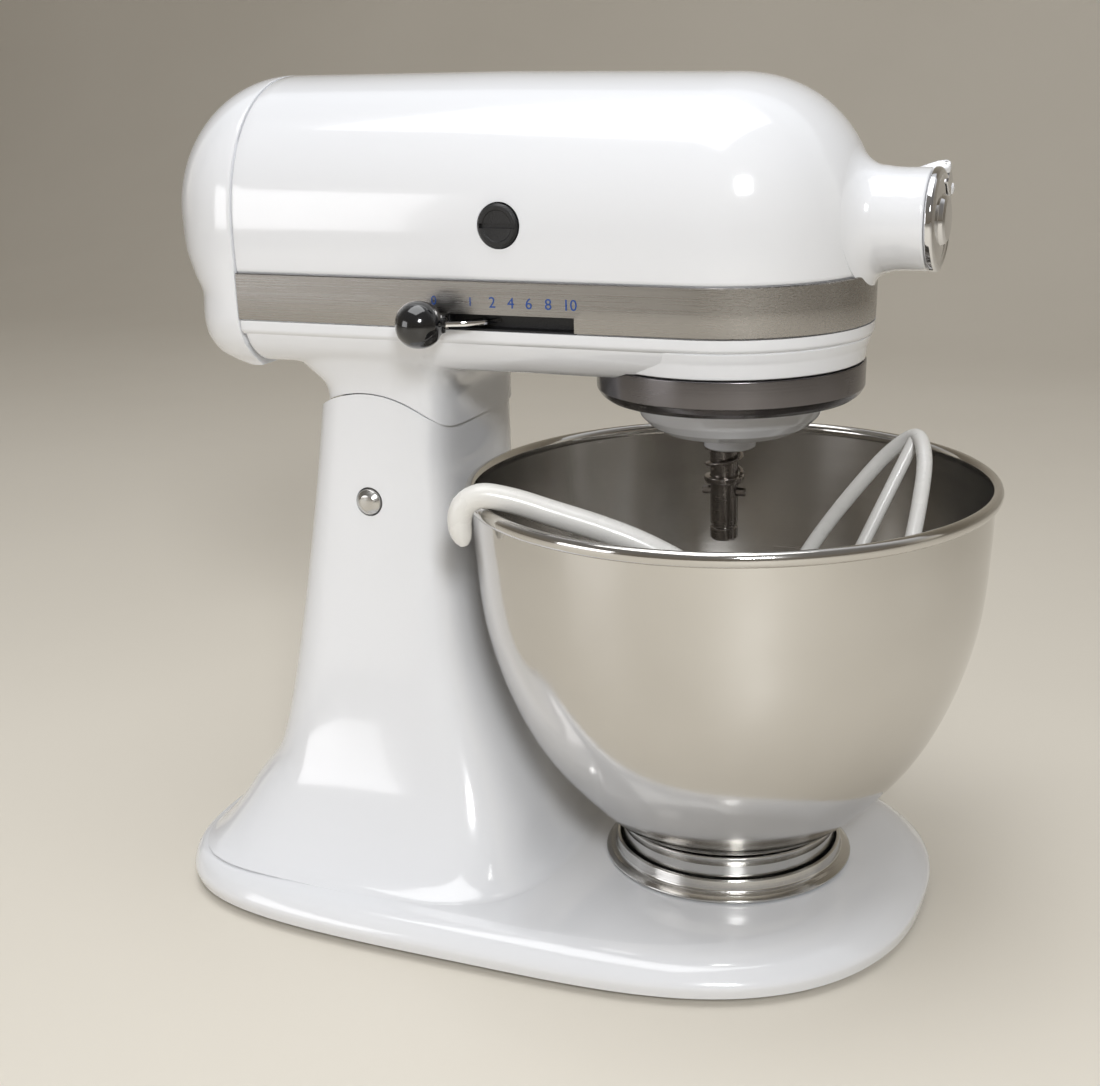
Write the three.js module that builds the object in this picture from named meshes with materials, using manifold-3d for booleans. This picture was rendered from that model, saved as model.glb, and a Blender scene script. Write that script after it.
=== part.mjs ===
// Tilt-head stand mixer. Millimetres, +Z up, +X towards the bowl, -Y the side of the speed lever.
// X = 0 and Y = 0 is the axis of the bowl and of the planetary; Z = 0 is the underside of the feet.
import * as THREE from "three";
import { mergeVertices } from "three/addons/utils/BufferGeometryUtils.js";
import Module from "manifold-3d";

const wasm = await Module();
wasm.setup();

// Driving dimensions.
const BODY_CENTRE = [-68.055, 10.175]; // middle of the outline in X and Y, brought to the frame's origin
const PIN = { x: -147.5, z: 176.5, r: 6, bore: 6.3 }; // hinge of the head
const SEAM_R = 46.5; // radius about the hinge pin where column and neck meet
const COLUMN_B = 42; // half width of the column at its top
const HEAD_REAR = -197; // where the upper housing ends and the end cover begins
const HUB = { z: 295, r: 19.5, front: 79.5, bore: 13.3 };
const COVER_HINGE = { x: 82.4, reach: 21, turn: -45 }; // distance from the hub's axis, and turn from the top
const PLATE = { r: 53.9, z: 18.7 };
const PLATE_SCREWS = { r: 36.5, angles: [0.5, 2.6, 4.7] };
const DRIP_R = 54.6;
const LOCK = { x: -166, z: 158 }; // pivot of the lock lever
const BRUSH = { x: -75.5, z: 296 };
const COVER_SCREW_Z = 247;
const CORD = { y: 26, z: 247 };
const MODULE = 1.5;
const RING_TEETH = 49;
const PLANET_TEETH = 15;
const CENTRE_TEETH = 44;
const PINION_TEETH = 12;
const WHEEL_TEETH = 32;
const WORM = { module: 1.25, r: 7, z: 295 };
const OFFSET = (MODULE * (RING_TEETH - PLANET_TEETH)) / 2; // beater shaft from planetary axis
const SHAFT_AZ = Math.atan2(23.6, -9.7); // resting direction of the beater shaft
const TAU = Math.PI * 2;
const DETAIL = 0.56; // share of the nominal number of sides of round pieces

// Materials: colour, roughness, metalness.
const M = {
  enamel: [0xf2f3f6, 0.22, 0],
  steel: [0xb9bbbd, 0.35, 1],
  chrome: [0xd5d7da, 0.12, 1],
  satin: [0x9a9a9c, 0.4, 1],
  dark_steel: [0x5a5654, 0.35, 1],
  black_gloss: [0x0b0b0c, 0.15, 0],
  black_matte: [0x151516, 0.6, 0],
  rubber: [0x2b2b2b, 0.9, 0],
  bronze: [0x9b7440, 0.4, 1],
  copper: [0xb4643a, 0.4, 1],
  iron: [0x6b6a68, 0.55, 1],
  carbon: [0x222222, 0.8, 0],
  coating: [0xe9e8e4, 0.35, 0],
};

// A geometry as a solid with its faces out.
function solid(geometry) {
  const g = geometry.clone();
  g.deleteAttribute("normal");
  g.deleteAttribute("uv");
  const merged = mergeVertices(g, 1e-4);
  const src = merged.index ? merged.index.array : [...Array(merged.attributes.position.count).keys()];
  const tris = [];
  for (let i = 0; i < src.length; i += 3) {
    const [a, b, c] = [src[i], src[i + 1], src[i + 2]];
    if (a !== b && b !== c && a !== c) tris.push(a, b, c);
  }
  const make = (list) =>
    new wasm.Manifold(
      new wasm.Mesh({
        numProp: 3,
        vertProperties: new Float32Array(merged.attributes.position.array),
        triVerts: new Uint32Array(list),
      }),
    );
  const made = make(tris);
  if (made.volume() >= 0) return made;
  for (let i = 0; i < tris.length; i += 3) [tris[i + 1], tris[i + 2]] = [tris[i + 2], tris[i + 1]];
  return make(tris);
}

// Rings of points (each ring the same count) as a solid; the ends are closed by a fan about their middle.
function loft(rings, closeEnds = true) {
  const n = rings[0].length;
  const pos = [];
  const idx = [];
  rings.forEach((ring) => ring.forEach((p) => pos.push(...p)));
  for (let k = 0; k + 1 < rings.length; k++)
    for (let i = 0; i < n; i++) {
      const j = (i + 1) % n;
      const [a, b] = [k * n + i, k * n + j];
      const [c, d] = [a + n, b + n];
      idx.push(a, b, d, a, d, c);
    }
  const cap = (k, flip) => {
    const mid = [0, 1, 2].map((q) => rings[k].reduce((s, p) => s + p[q], 0) / n);
    const m = pos.length / 3;
    pos.push(...mid);
    for (let i = 0; i < n; i++) {
      const j = (i + 1) % n;
      if (flip) idx.push(m, k * n + j, k * n + i);
      else idx.push(m, k * n + i, k * n + j);
    }
  };
  if (closeEnds) {
    cap(0, true);
    cap(rings.length - 1, false);
  } else {
    for (let i = 0; i < n; i++) {
      const j = (i + 1) % n;
      const [a, b] = [(rings.length - 1) * n + i, (rings.length - 1) * n + j];
      idx.push(a, b, j, a, j, i);
    }
  }
  const g = new THREE.BufferGeometry();
  g.setAttribute("position", new THREE.Float32BufferAttribute(pos, 3));
  g.setIndex(idx);
  return solid(g);
}

// A closed profile of [r, z] pairs turned about the vertical through (x, y).
function turn(profile, seg = 32, x = 0, y = 0) {
  const pts = profile.map(([r, z]) => new THREE.Vector2(r, z));
  const open = profile[0][0] > 0 || profile[profile.length - 1][0] > 0;
  if (open) pts.push(pts[0].clone());
  const g = new THREE.LatheGeometry(pts, Math.round(seg * DETAIL));
  g.rotateX(Math.PI / 2);
  g.translate(x, y, 0);
  return solid(g);
}

// The same profile turned about a line along X or Y; z of the pairs runs along that line.
function turnAlong(axis, profile, seg, x, y, z) {
  const closing = profile[0][0] > 0 ? [profile[0]] : [];
  const points = [...profile, ...closing].map(([r, t]) => new THREE.Vector2(r, t));
  const g = new THREE.LatheGeometry(points, Math.round(seg * DETAIL));
  if (axis === "x") g.rotateZ(-Math.PI / 2);
  if (axis === "z") g.rotateX(Math.PI / 2);
  g.translate(x, y, z);
  return solid(g);
}

function box(x0, x1, y0, y1, z0, z1) {
  const g = new THREE.BoxGeometry(x1 - x0, y1 - y0, z1 - z0);
  g.translate((x0 + x1) / 2, (y0 + y1) / 2, (z0 + z1) / 2);
  return solid(g);
}

function rod(axis, r, t0, t1, x, y, z, seg = 20) {
  return turnAlong(axis, [[0, t0], [r, t0], [r, t1], [0, t1]], seg, x, y, z);
}

const add = (...list) => list.reduce((a, b) => a.add(b));

// Straight interpolation in a table of rows [key, value, ...].
function row(table, key) {
  const last = table.length - 1;
  if (key <= table[0][0]) return table[0].slice(1);
  if (key >= table[last][0]) return table[last].slice(1);
  const i = table.findIndex((r) => r[0] > key) - 1;
  const t = (key - table[i][0]) / (table[i + 1][0] - table[i][0]);
  return table[i].slice(1).map((v, q) => v + t * (table[i + 1][q + 1] - v));
}

// A rounded outline about (xc, 0): front and rear reach, half width, exponents in front and behind.
function outline(z, xf, xr, b, nf, nr, seg) {
  const xc = (xf + xr) / 2;
  const a = (xf - xr) / 2;
  const ring = [];
  for (let i = 0; i < seg; i++) {
    const t = (TAU * i) / seg;
    const [c, s] = [Math.cos(t), Math.sin(t)];
    const n = nr + ((nf - nr) * (1 + c)) / 2;
    const r = (Math.abs(c) ** n + Math.abs(s) ** n) ** (-1 / n);
    ring.push([xc + a * r * c, b * r * s, z]);
  }
  return ring;
}

// Column and base: one casting. Rows are height, front, rear, half width, front exponent, rear exponent.
const CASTING = [
  [3.5, 86.5, -239, 109, 2.5, 4.5],
  [8, 87, -240, 110, 2.5, 4.5],
  [13, 82, -239.5, 107.5, 2.5, 4.5],
  [16.5, 74, -238, 103, 2.5, 4.5],
  [18, 62, -236, 98, 2.5, 4.5],
  [18.5, -61, -234, 96, 4, 4],
  [21, -66, -231, 92, 4.4, 3.8],
  [26, -70.5, -227, 86, 4.8, 3.6],
  [40, -78, -219, 74, 5.4, 3.2],
  [58, -87, -207, 64, 6, 3],
  [80, -97, -202, 57, 6.5, 2.8],
  [110, -107, -196.5, 51, 7, 2.7],
  [150, -113, -190, 46, 7, 2.6],
  [181, -114.5, -185, 43.5, 7, 2.6],
  [232, -114.5, -177, COLUMN_B, 7, 2.6],
];

function casting(inset, z0, z1, seg) {
  const rows = CASTING.filter((r) => r[0] > z0 && r[0] < z1).map((r) => r[0]);
  return loft(
    [z0, ...rows, z1].map((z) => {
      const [xf, xr, b, nf, nr] = row(CASTING, z);
      return outline(z, xf - inset, xr + inset, b - inset, nf, nr, seg);
    }),
  );
}

function base() {
  const ears = rod("y", SEAM_R, -60, 60, PIN.x, 0, PIN.z, 48).intersect(box(-240, 0, -60, 60, 140, 240));
  const top = ears.add(box(-240, 0, -60, 60, 130, PIN.z));
  let made = casting(0, 3.5, 140, 36).add(casting(0, 140, 232, 36).intersect(top));
  made = made.subtract(casting(5, 2, 130, 20).translate([0, 0, -5]));
  made = made.subtract(box(-178, -120.5, -27.5, 27.5, 134, 250));
  made = made.subtract(box(-250, -150, -27.5, 27.5, 165, 250));
  made = made.subtract(rod("y", PIN.bore, -60, 60, PIN.x, 0, PIN.z, 24));
  made = made.subtract(rod("z", 3.5, 100, 150, HEIGHT_SCREW_X, 0, 0, 12));
  made = made.subtract(rod("z", 51.2, 16.6, 30, 0, 0, 0, 48));
  for (const [x, y] of screwPlaces()) made = made.subtract(rod("z", 2.6, 0, 30, x, y, 0, 12));
  for (const [x, y] of FEET) made = made.add(rod("z", 8, 3.6, 14, x, y, 0, 12));
  for (const [x, y] of FEET) made = made.subtract(rod("z", 3.3, 2, 11, x, y, 0, 12));
  return made.subtract(rod("y", 5.2, 0, 60, LOCK.x, 0, LOCK.z, 16));
}

const HEIGHT_SCREW_X = -149.5;

function screwPlaces() {
  return PLATE_SCREWS.angles.map((t) => [PLATE_SCREWS.r * Math.cos(t), PLATE_SCREWS.r * Math.sin(t)]);
}

const FEET = [[-205, -72], [-205, 72], [-20, -88], [-20, 88], [66, 0]];

function foot(x, y) {
  return turn([[0, 0], [8.5, 0], [9.5, 1], [9.5, 3.3], [2.8, 3.3], [2.8, 10], [0, 10]], 15, x, y);
}

function clampPlate() {
  const made = turn(
    [[30, 16.9], [50.5, 16.9], [50.5, PLATE.z + 0.1], [PLATE.r, PLATE.z + 0.2], [PLATE.r, PLATE.z + 1.2],
      [52, PLATE.z + 2.4], [49.6, PLATE.z + 3], [49.2, PLATE.z + 8], [47.6, PLATE.z + 8], [48, 20], [46, 18.9],
      [30, 18.9]],
    48,
  );
  return made.subtract(add(...screwPlaces().map(([x, y]) => rod("z", 2.6, 10, 30, x, y, 0, 12))));
}

function plateScrew([x, y]) {
  const head = turn([[0, 9], [2.2, 9], [2.2, 19.2], [4.4, 19.2], [3.6, 21.2], [0, 21.8]], 14, x, y);
  return head.subtract(box(x - 5, x + 5, y - 0.5, y + 0.5, 20.8, 23));
}

function hingePin() {
  const e = COLUMN_B + 2.4;
  const end = [[PIN.r, e - 1.6], [4.9, e - 0.6], [4.9, e], [2.6, e + 1.8], [0, e + 2.4]];
  const start = [...end].reverse().map(([r, t]) => [r, -t]);
  return turnAlong("y", [...start, ...end], 24, PIN.x, 0, PIN.z);
}

// The head's side: height and half width of the upper housing, swept along its length and round its nose.
const SHELL = [
  [255, 56.7], [275, 57.4], [288, 57.9], [300, 57.8], [311, 56.2], [320, 53], [328, 48], [336, 40.5],
  [342, 32.5], [346.5, 23.5], [349.8, 12], [350.8, 0],
];

// A solid bounded by a profile kept at a distance from the head's middle plane and turned round its nose.
function bullet(profile, rear, seg = 20, rise = 0) {
  const stations = [];
  for (let i = 0; i <= 3; i++) stations.push([rear + ((0 - rear) * i) / 3, -Math.PI / 2]);
  for (let i = 1; i < seg; i++) stations.push([0, -Math.PI / 2 + (Math.PI * i) / seg]);
  for (let i = 3; i >= 0; i--) stations.push([rear + ((0 - rear) * i) / 3, Math.PI / 2]);
  const n = stations.length;
  const lift = (x) => (rise * Math.min(1, -x / 95));
  const pos = [];
  const idx = [];
  const top = profile[profile.length - 1][0];
  profile.forEach(([z, w]) =>
    stations.forEach(([x, a]) => {
      const dz = lift(x) * Math.max(0, (z - 300) / (top - 300));
      pos.push(x + w * Math.cos(a), w * Math.sin(a), z + dz);
    }),
  );
  for (let k = 0; k + 1 < profile.length; k++)
    for (let i = 0; i + 1 < n; i++) {
      const [a, b] = [k * n + i, k * n + i + 1];
      idx.push(a, b, b + n, a, b + n, a + n);
    }
  const across = (k, flip) => {
    for (let i = 0; i < Math.floor((n - 1) / 2); i++) {
      const [a, b, c, d] = [k * n + i, k * n + i + 1, k * n + n - 2 - i, k * n + n - 1 - i];
      if (c === b) idx.push(...(flip ? [a, d, b] : [a, b, d]));
      else idx.push(...(flip ? [a, d, c, a, c, b] : [a, c, d, a, b, c]));
    }
  };
  across(0, true);
  if (profile[profile.length - 1][1] > 0) across(profile.length - 1, false);
  for (let k = 0; k + 1 < profile.length; k++) {
    const [a, d, b, c] = [k * n, k * n + n - 1, k * n + n, k * n + n + n - 1];
    idx.push(a, b, c, a, c, d);
  }
  const g = new THREE.BufferGeometry();
  g.setAttribute("position", new THREE.Float32BufferAttribute(pos, 3));
  g.setIndex(idx);
  return solid(g);
}

const shellInside = () =>
  bullet([[254, 52.8], [300, 53.2], [318, 50], [333, 38], [341, 26], [346.2, 0]], -198, 12, 1.6);

function motorHousing() {
  const barrel = [[0, 40], [HUB.r + 3, 40], [HUB.r + 3, 57], [HUB.r + 0.8, 60.5], [HUB.r, 64], [HUB.r, HUB.front],
    [0, HUB.front]];
  const socket = rod("x", HUB.bore, 26, 90, 0, 0, HUB.z, 28);
  let made = bullet(SHELL, HEAD_REAR, 12, 1.6).add(turnAlong("x", barrel, 32, 0, 0, HUB.z));
  const belt = bullet([[253, 70], [275, 70]], -260, 12).subtract(bullet([[252, 56.3], [277, 56.3]], -261, 12));
  made = made.subtract(belt);
  made = made.subtract(shellInside());
  made = made.subtract(socket).add(box(34, 54, -16.5, 16.5, 289, 301).subtract(socket));
  for (const s of [-1, 1]) {
    const across = (r, near, far) => rod("y", r, Math.min(s * near, s * far), Math.max(s * near, s * far), BRUSH.x, 0, BRUSH.z);
    made = made.add(across(10.2, 30, 56)).subtract(across(7.2, 29, 70)).subtract(across(9, 56.4, 70));
  }
  made = made.subtract(rod("y", 4.3, 5, 80, ATTACHMENT_KNOB_X, 0, HUB.z, 16));
  made = made.subtract(box(-105, -38, -60, -45, 253, 262));
  return made;
}

// Underside of the head: height and half width from below the band down to the flat under the arm.
const CHIN = [
  [235, 37], [236, 43], [239, 48.5], [244, 53.5], [249, 56], [249.8, 56.6], [250.6, 57.7], [254.7, 57.9],
];

// Rows as in the casting.
const NECK = [
  [170, -113, -178, 41.6, 7, 2.6],
  [222, -113, -176, 42, 7, 2.6],
  [226, -111.5, -178, 42.8, 6, 2.7],
  [231, -107, -184, 44.5, 5, 3],
  [236, -99, -189, 47, 4.5, 3.2],
  [241, -88, -192, 50, 4.2, 3.4],
  [247, -74, -194, 54, 4, 4],
];

function neck() {
  const body = loft(NECK.map((r) => outline(...r, 40)));
  const seam = rod("y", SEAM_R + 0.5, -80, 80, PIN.x, 0, PIN.z, 48);
  return body.subtract(seam).subtract(box(-240, 0, -80, 80, 100, PIN.z + 18));
}

function lowerCase() {
  let made = bullet(CHIN, HEAD_REAR + 1, 12).subtract(box(0, 80, -80, 80, 200, 249));
  made = made.add(turn([[0, 239.2], [54.4, 239.2], [55.2, 245], [57, 249.5], [0, 249.5]], 48));
  made = made.subtract(bullet([[238.7, 33], [243, 45], [249, 52.5], [256, 53]], -191, 12));
  made = made.add(neck().subtract(box(-168, -60, -37, 37, 236, 260)));
  const tongue = rod("y", 26, -24, 24, PIN.x, 0, PIN.z, 40).add(box(-169, -126, -24, 24, 180, 240));
  made = made.add(tongue.subtract(box(-240, -60, -60, 60, 238.7, 260)));
  made = made.subtract(rod("y", PIN.bore, -60, 60, PIN.x, 0, PIN.z, 24));
  made = made.subtract(turn([[0, 220], [55.6, 220], [55.6, 239], [0, 239]], 48));
  const floor = turn([[9.3, 243.5], [50, 243.5], [50, 247.5], [9.3, 247.5]], 40);
  made = made.add(turn([[46.9, 231.6], [49.8, 231.6], [49.8, 246], [46.9, 246]], 48));
  made = made.subtract(turn([[0, 230], [46.9, 230], [46.9, 243.5], [0, 243.5]], 48)).add(floor);
  made = made.subtract(rod("z", 8.2, 240, 250, ...pinionXY(), 0, 20));
  made = made.add(turn([[6, 243.6], [11, 243.6], [11, 258], [6, 258]], 20, ...pinionXY()));
  return made;
}

function pinionXY() {
  const reach = (MODULE * (CENTRE_TEETH + PINION_TEETH)) / 2;
  const y = WORM.r + (WORM.module * WHEEL_TEETH) / 2;
  return [-Math.sqrt(reach * reach - y * y), y];
}

// End cover: height, reach behind the seam, half width, squareness of its section.
const END_COVER = [
  [233, 17, 42, 2.6],
  [235, 25, 44, 2.6],
  [239, 32, 49, 2.5],
  [247, 35.5, 55, 2.4],
  [255, 36.6, 57.2, 2.3],
  [263.5, 37, 57.2, 2.2],
  [272, 42.5, 57.4, 2.1],
  [284, 48, 57.8, 2.05],
  [298, 49.5, 57.9, 2],
  [310, 48.3, 56.6, 2],
  [322, 44.3, 52.4, 2],
  [333, 37, 44, 2],
  [342, 27, 33, 2],
  [348, 17, 21, 2],
  [351.6, 6, 7, 2],
];

// The cover's outer skin, drawn in by a distance all round.
function coverSkin(inset, rows, seg) {
  const rings = rows.map(([z, reach, half, n]) => {
    const ring = outline(z, reach - inset, inset - reach, half - inset, n, n, seg);
    return ring.map(([x, y, h]) => [HEAD_REAR - 0.5 + Math.min(x, 0), y, h]);
  });
  return loft(rings);
}

function endCover() {
  const hollow = coverSkin(4.5, END_COVER.slice(2, -2), 24).add(box(-226, -197, -44, 44, 239, 268));
  const mouth = box(-199, -190, -52, 52, 240, 344);
  let made = coverSkin(0, END_COVER, 40).subtract(hollow).subtract(mouth.intersect(hollow.translate([4, 0, 0])));
  made = made.subtract(rod("x", 6.6, -260, -190, 0, CORD.y, CORD.z, 16));
  return made.subtract(rod("x", 2.7, -260, -190, 0, 0, COVER_SCREW_Z, 12));
}

function trimBand() {
  const inside = bullet([[250, 56.8], [280, 56.8]], -240, 12);
  const made = bullet([[255.4, 57.8], [274.6, 58.2]], HEAD_REAR + 0.5, 12).subtract(inside);
  return made.subtract(box(-99, -44.7, -70, -40, 250, 261.5));
}

function dripRing() {
  const outer = [[41.5, 223.6], [50.6, 223.6], [53, 225.4], [DRIP_R, 228], [DRIP_R + 0.2, 238.6], [50.2, 238.6]];
  const inner = [[50.2, 237.6], [53.4, 237.6], [53.4, 228.3], [52, 226.3], [50, 224.7], [41.5, 224.7]];
  return turn([...outer, ...inner], 48);
}

function brushCap(s) {
  const profile = [[0, 45], [6.8, 45], [6.8, 56.8], [8.5, 56.8], [8.5, 58.4], [7.6, 59.2], [0, 59.4]];
  const slot = box(BRUSH.x - 7.5, BRUSH.x + 7.5, 58.3, 62, BRUSH.z - 0.8, BRUSH.z + 0.8);
  const cut = turnAlong("y", profile, 24, BRUSH.x, 0, BRUSH.z).subtract(slot);
  return s > 0 ? cut : cut.mirror([0, 1, 0]);
}

// The outline of a straight-sided gear with a tooth centred on the angle phase.
function gearPoints(teeth, rTip, rRoot, tipShare, rootShare, phase) {
  const pts = [];
  const step = TAU / teeth;
  for (let i = 0; i < teeth; i++) {
    const mid = phase + i * step;
    const corners = [[rRoot, -rootShare / 2], [rTip, -tipShare / 2], [rTip, tipShare / 2], [rRoot, rootShare / 2]];
    for (const [r, a] of corners) pts.push([r * Math.cos(mid + a * step), r * Math.sin(mid + a * step)]);
  }
  return pts;
}

function gear(teeth, module, phase, z0, z1, x, y, end = 1, low = 1) {
  const r = (module * teeth) / 2;
  const pts = gearPoints(teeth, r + 0.8 * module, r - 1.15 * module, 0.18, 0.6, phase);
  return loft([[z0, low], [z1, end]].map(([z, k]) => pts.map(([a, b]) => [x + a * k, y + b * k, z])));
}

function worm() {
  const pitch = Math.PI * WORM.module;
  const x0 = pinionXY()[0];
  const rings = [];
  for (let k = -10; k <= 10; k++) {
    const x = x0 + (k * pitch) / 5;
    const ring = [];
    for (let i = 0; i < 14; i++) {
      const a = (TAU * i) / 14;
      let u = i / 14 - (x - x0) / pitch;
      u -= Math.floor(u);
      const t = Math.min(Math.max((0.3 - Math.abs(u - 0.5)) / 0.18, 0), 1);
      const r = 5.6 + 2.2 * t;
      ring.push([x, r * Math.cos(a), WORM.z + r * Math.sin(a)]);
    }
    rings.push(ring);
  }
  return loft(rings).subtract(rod("x", 4.3, x0 - 20, x0 + 20, 0, 0, WORM.z, 16));
}

function wheel() {
  const [x, y] = pinionXY();
  const teeth = gear(WHEEL_TEETH, WORM.module, -Math.PI / 2, 292, 298, x, y);
  return teeth.subtract(rod("z", 5.3, 280, 310, x, y, 0, 20));
}

function pinionShaft() {
  const [x, y] = pinionXY();
  const phase = Math.atan2(y, x) + Math.PI + Math.PI / PINION_TEETH;
  return rod("z", 5, 244, 304, x, y, 0, 20).add(gear(PINION_TEETH, MODULE, phase, 265.5, 276, x, y));
}

function centreGear() {
  const [x, y] = pinionXY();
  const made = gear(CENTRE_TEETH, MODULE, Math.atan2(y, x), 266.5, 273.5, 0, 0);
  return made.subtract(rod("z", 6.3, 260, 280, 0, 0, 0, 20));
}

const BEVEL = { teeth: 16, r: 12 };

function bevel(phase) {
  return gear(BEVEL.teeth, MODULE, phase, -BEVEL.r, -6.4, 0, 0, 6.4 / 12, 1);
}

function bevelPinion() {
  const made = bevel(0).translate([0, 0, HUB.z]).add(rod("z", 9, 274, 283.2, 0, 0, 0, 24));
  return made.subtract(rod("z", 6.3, 270, 283, 0, 0, 0, 20));
}

function hubGear() {
  const teeth = bevel(Math.PI / BEVEL.teeth).mirror([0, 0, 1]).rotate([0, 90, 0]).translate([0, 0, HUB.z]);
  const barrel = rod("x", 10.6, 11.8, 20, 0, 0, HUB.z, 28).add(rod("x", 11, 19, 62, 0, 0, HUB.z, 28));
  return teeth.add(barrel).subtract(box(32, 64, -4.8, 4.8, HUB.z - 4.8, HUB.z + 4.8));
}

function hubBush() {
  return turnAlong("x", [[11.3, 36], [13, 36], [13, 60], [11.3, 60]], 28, 0, 0, HUB.z);
}

function ringGear() {
  const r = (MODULE * RING_TEETH) / 2;
  const hole = gearPoints(RING_TEETH, r + 1.2 * MODULE, r - 0.8 * MODULE, 0.42, 0.8, SHAFT_AZ);
  const cut = loft([230, 250].map((z) => hole.map(([a, b]) => [a, b, z])));
  return rod("z", 46.5, 234.4, 242.8, 0, 0, 0, 40).subtract(cut);
}

const SHAFT = [OFFSET * Math.cos(SHAFT_AZ), OFFSET * Math.sin(SHAFT_AZ)];

function planetary() {
  const made = turn(
    [[0, 201], [9.6, 201], [10.8, 202], [10.8, 206.6], [22, 207.4], [28, 209], [33, 211.8], [36.8, 215.6], [38.6, 220],
      [39, 222], [39.2, 225.6], [46, 227.4], [46, 230.5], [9, 231.4], [8, 243], [0, 243]],
    48,
  );
  const bore = rod("z", 6.3, 212, 250, 0, 0, 0, 20).add(rod("z", 6.4, 190, 250, ...SHAFT, 0, 20));
  return made.subtract(bore);
}

function planetPinion() {
  const made = gear(PLANET_TEETH, MODULE, SHAFT_AZ, 234.6, 242.6, ...SHAFT);
  return made.subtract(rod("z", 6.3, 230, 250, ...SHAFT, 0, 20));
}

function beaterShaft() {
  const end = [[0, 154], [5.2, 154], [6, 155], [6, 159.4], [5.5, 159.8], [5.5, 160.6], [6, 161]];
  const made = turn([...end, [6, 242.8], [0, 242.8]], 24, ...SHAFT);
  return made.subtract(rod("x", 2.2, -20, 20, SHAFT[0], SHAFT[1], 175.4, 12));
}

function crossPin() {
  return rod("x", 1.9, -9.4, 9.4, SHAFT[0], SHAFT[1], 175.4, 12);
}

// A round rod along a smooth path.
function bent(points, r, seg = 10, steps = 24, closed = false) {
  const curve = new THREE.CatmullRomCurve3(points.map((p) => new THREE.Vector3(...p)), closed, "centripetal");
  const frames = curve.computeFrenetFrames(steps, closed);
  const at = curve.getSpacedPoints(steps);
  const rings = at.slice(0, closed ? steps : steps + 1).map((p, k) => {
    const ring = [];
    for (let i = 0; i < seg; i++) {
      const a = (TAU * i) / seg;
      const q = p.clone().addScaledVector(frames.normals[k], r * Math.cos(a));
      ring.push(q.addScaledVector(frames.binormals[k], r * Math.sin(a)).toArray());
    }
    return ring;
  });
  return loft(rings, !closed);
}

function spring() {
  const pts = [];
  for (let i = 0; i <= 30; i++) {
    const a = (TAU * i) / 10;
    pts.push([SHAFT[0] + 7.6 * Math.cos(a), SHAFT[1] + 7.6 * Math.sin(a), 183.6 + (21.4 * i) / 30]);
  }
  return bent(pts, 0.8, 6, 36);
}

function washer() {
  return turn([[6.4, 179.8], [7.8, 179.4], [8.6, 180.6], [8.6, 182.4], [6.4, 182.4]], 24, ...SHAFT);
}

// Outside of the bowl: radius, height.
const BOWL = [
  [20, 33.4], [35, 34.4], [44, 36.4], [52.6, 40.6], [67.6, 55], [83.2, 75], [95.4, 100], [104, 130], [107.3, 165],
  [107.9, 184],
];

function bowl() {
  const inner = BOWL.map(([r, z], i) => (i > 5 ? [r - 1.3, z] : [r - 0.9, z + 1.3])).reverse();
  const bead = [[107, 182.3], [109.6, 182.4], [111, 184], [111, 186.6], [109.4, 188.3], [107.4, 188], [106.2, 186.2],
    [106.2, 183]];
  return turn([[0, 33.4], ...BOWL, ...inner, [0, 34.7]], 54).add(turn(bead, 54));
}

function bowlFoot() {
  return turn([[44.2, 21.8], [46.4, 21.8], [46.4, 32], [48.4, 36.4], [47.6, 36.8], [44.2, 35.4]], 48);
}

function bowlHandle() {
  const a = Math.PI * 0.36;
  const at = (r, z) => [r * Math.cos(a), r * Math.sin(a), z];
  const w = [-Math.sin(a), Math.cos(a)];
  const path = [[108.3, 176], [116, 177], [131, 172], [138, 158], [138, 130], [132, 112], [118, 97], [100.6, 99]];
  const rings = path.map(([r, z], k) => {
    const [r0, z0] = path[Math.max(k - 1, 0)];
    const [r1, z1] = path[Math.min(k + 1, path.length - 1)];
    const l = Math.hypot(r1 - r0, z1 - z0);
    const [nr, nz] = [-(z1 - z0) / l, (r1 - r0) / l];
    const half = 12.5;
    return [[-half, -1], [half, -1], [half, 1], [-half, 1]].map(([q, d]) => {
      const p = at(r + nr * d * 1.3, z + nz * d * 1.3);
      return [p[0] + w[0] * q, p[1] + w[1] * q, p[2]];
    });
  });
  const bowlSide = BOWL.slice(3).map(([r, z]) => [r + 0.35, z]);
  return loft(rings).subtract(turn([[0, 20], ...bowlSide, [108.3, 200], [0, 200]], 54));
}

const HOOK = [
  [-84.4, -80.6, 173.5], [-85.6, -81.6, 183], [-83.4, -81.4, 190.2], [-77.5, -79.4, 193.8], [-68, -75.5, 192.3],
  [-52.6, -70, 185.8], [-14.7, -60, 172.9], [20, -50, 150], [44, -43, 118], [52, -41, 90],
];

function doughHook() {
  return bent(HOOK, 4.9, 9, 20).add(bent([[50, -41.8, 98], [53, -40.6, 84], [54.4, -40, 74]], 8, 9, 3));
}

const BEATER = { apex: [66, 58, 197], length: 158, up: [0.33, 0.42, 0.845] };

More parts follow.
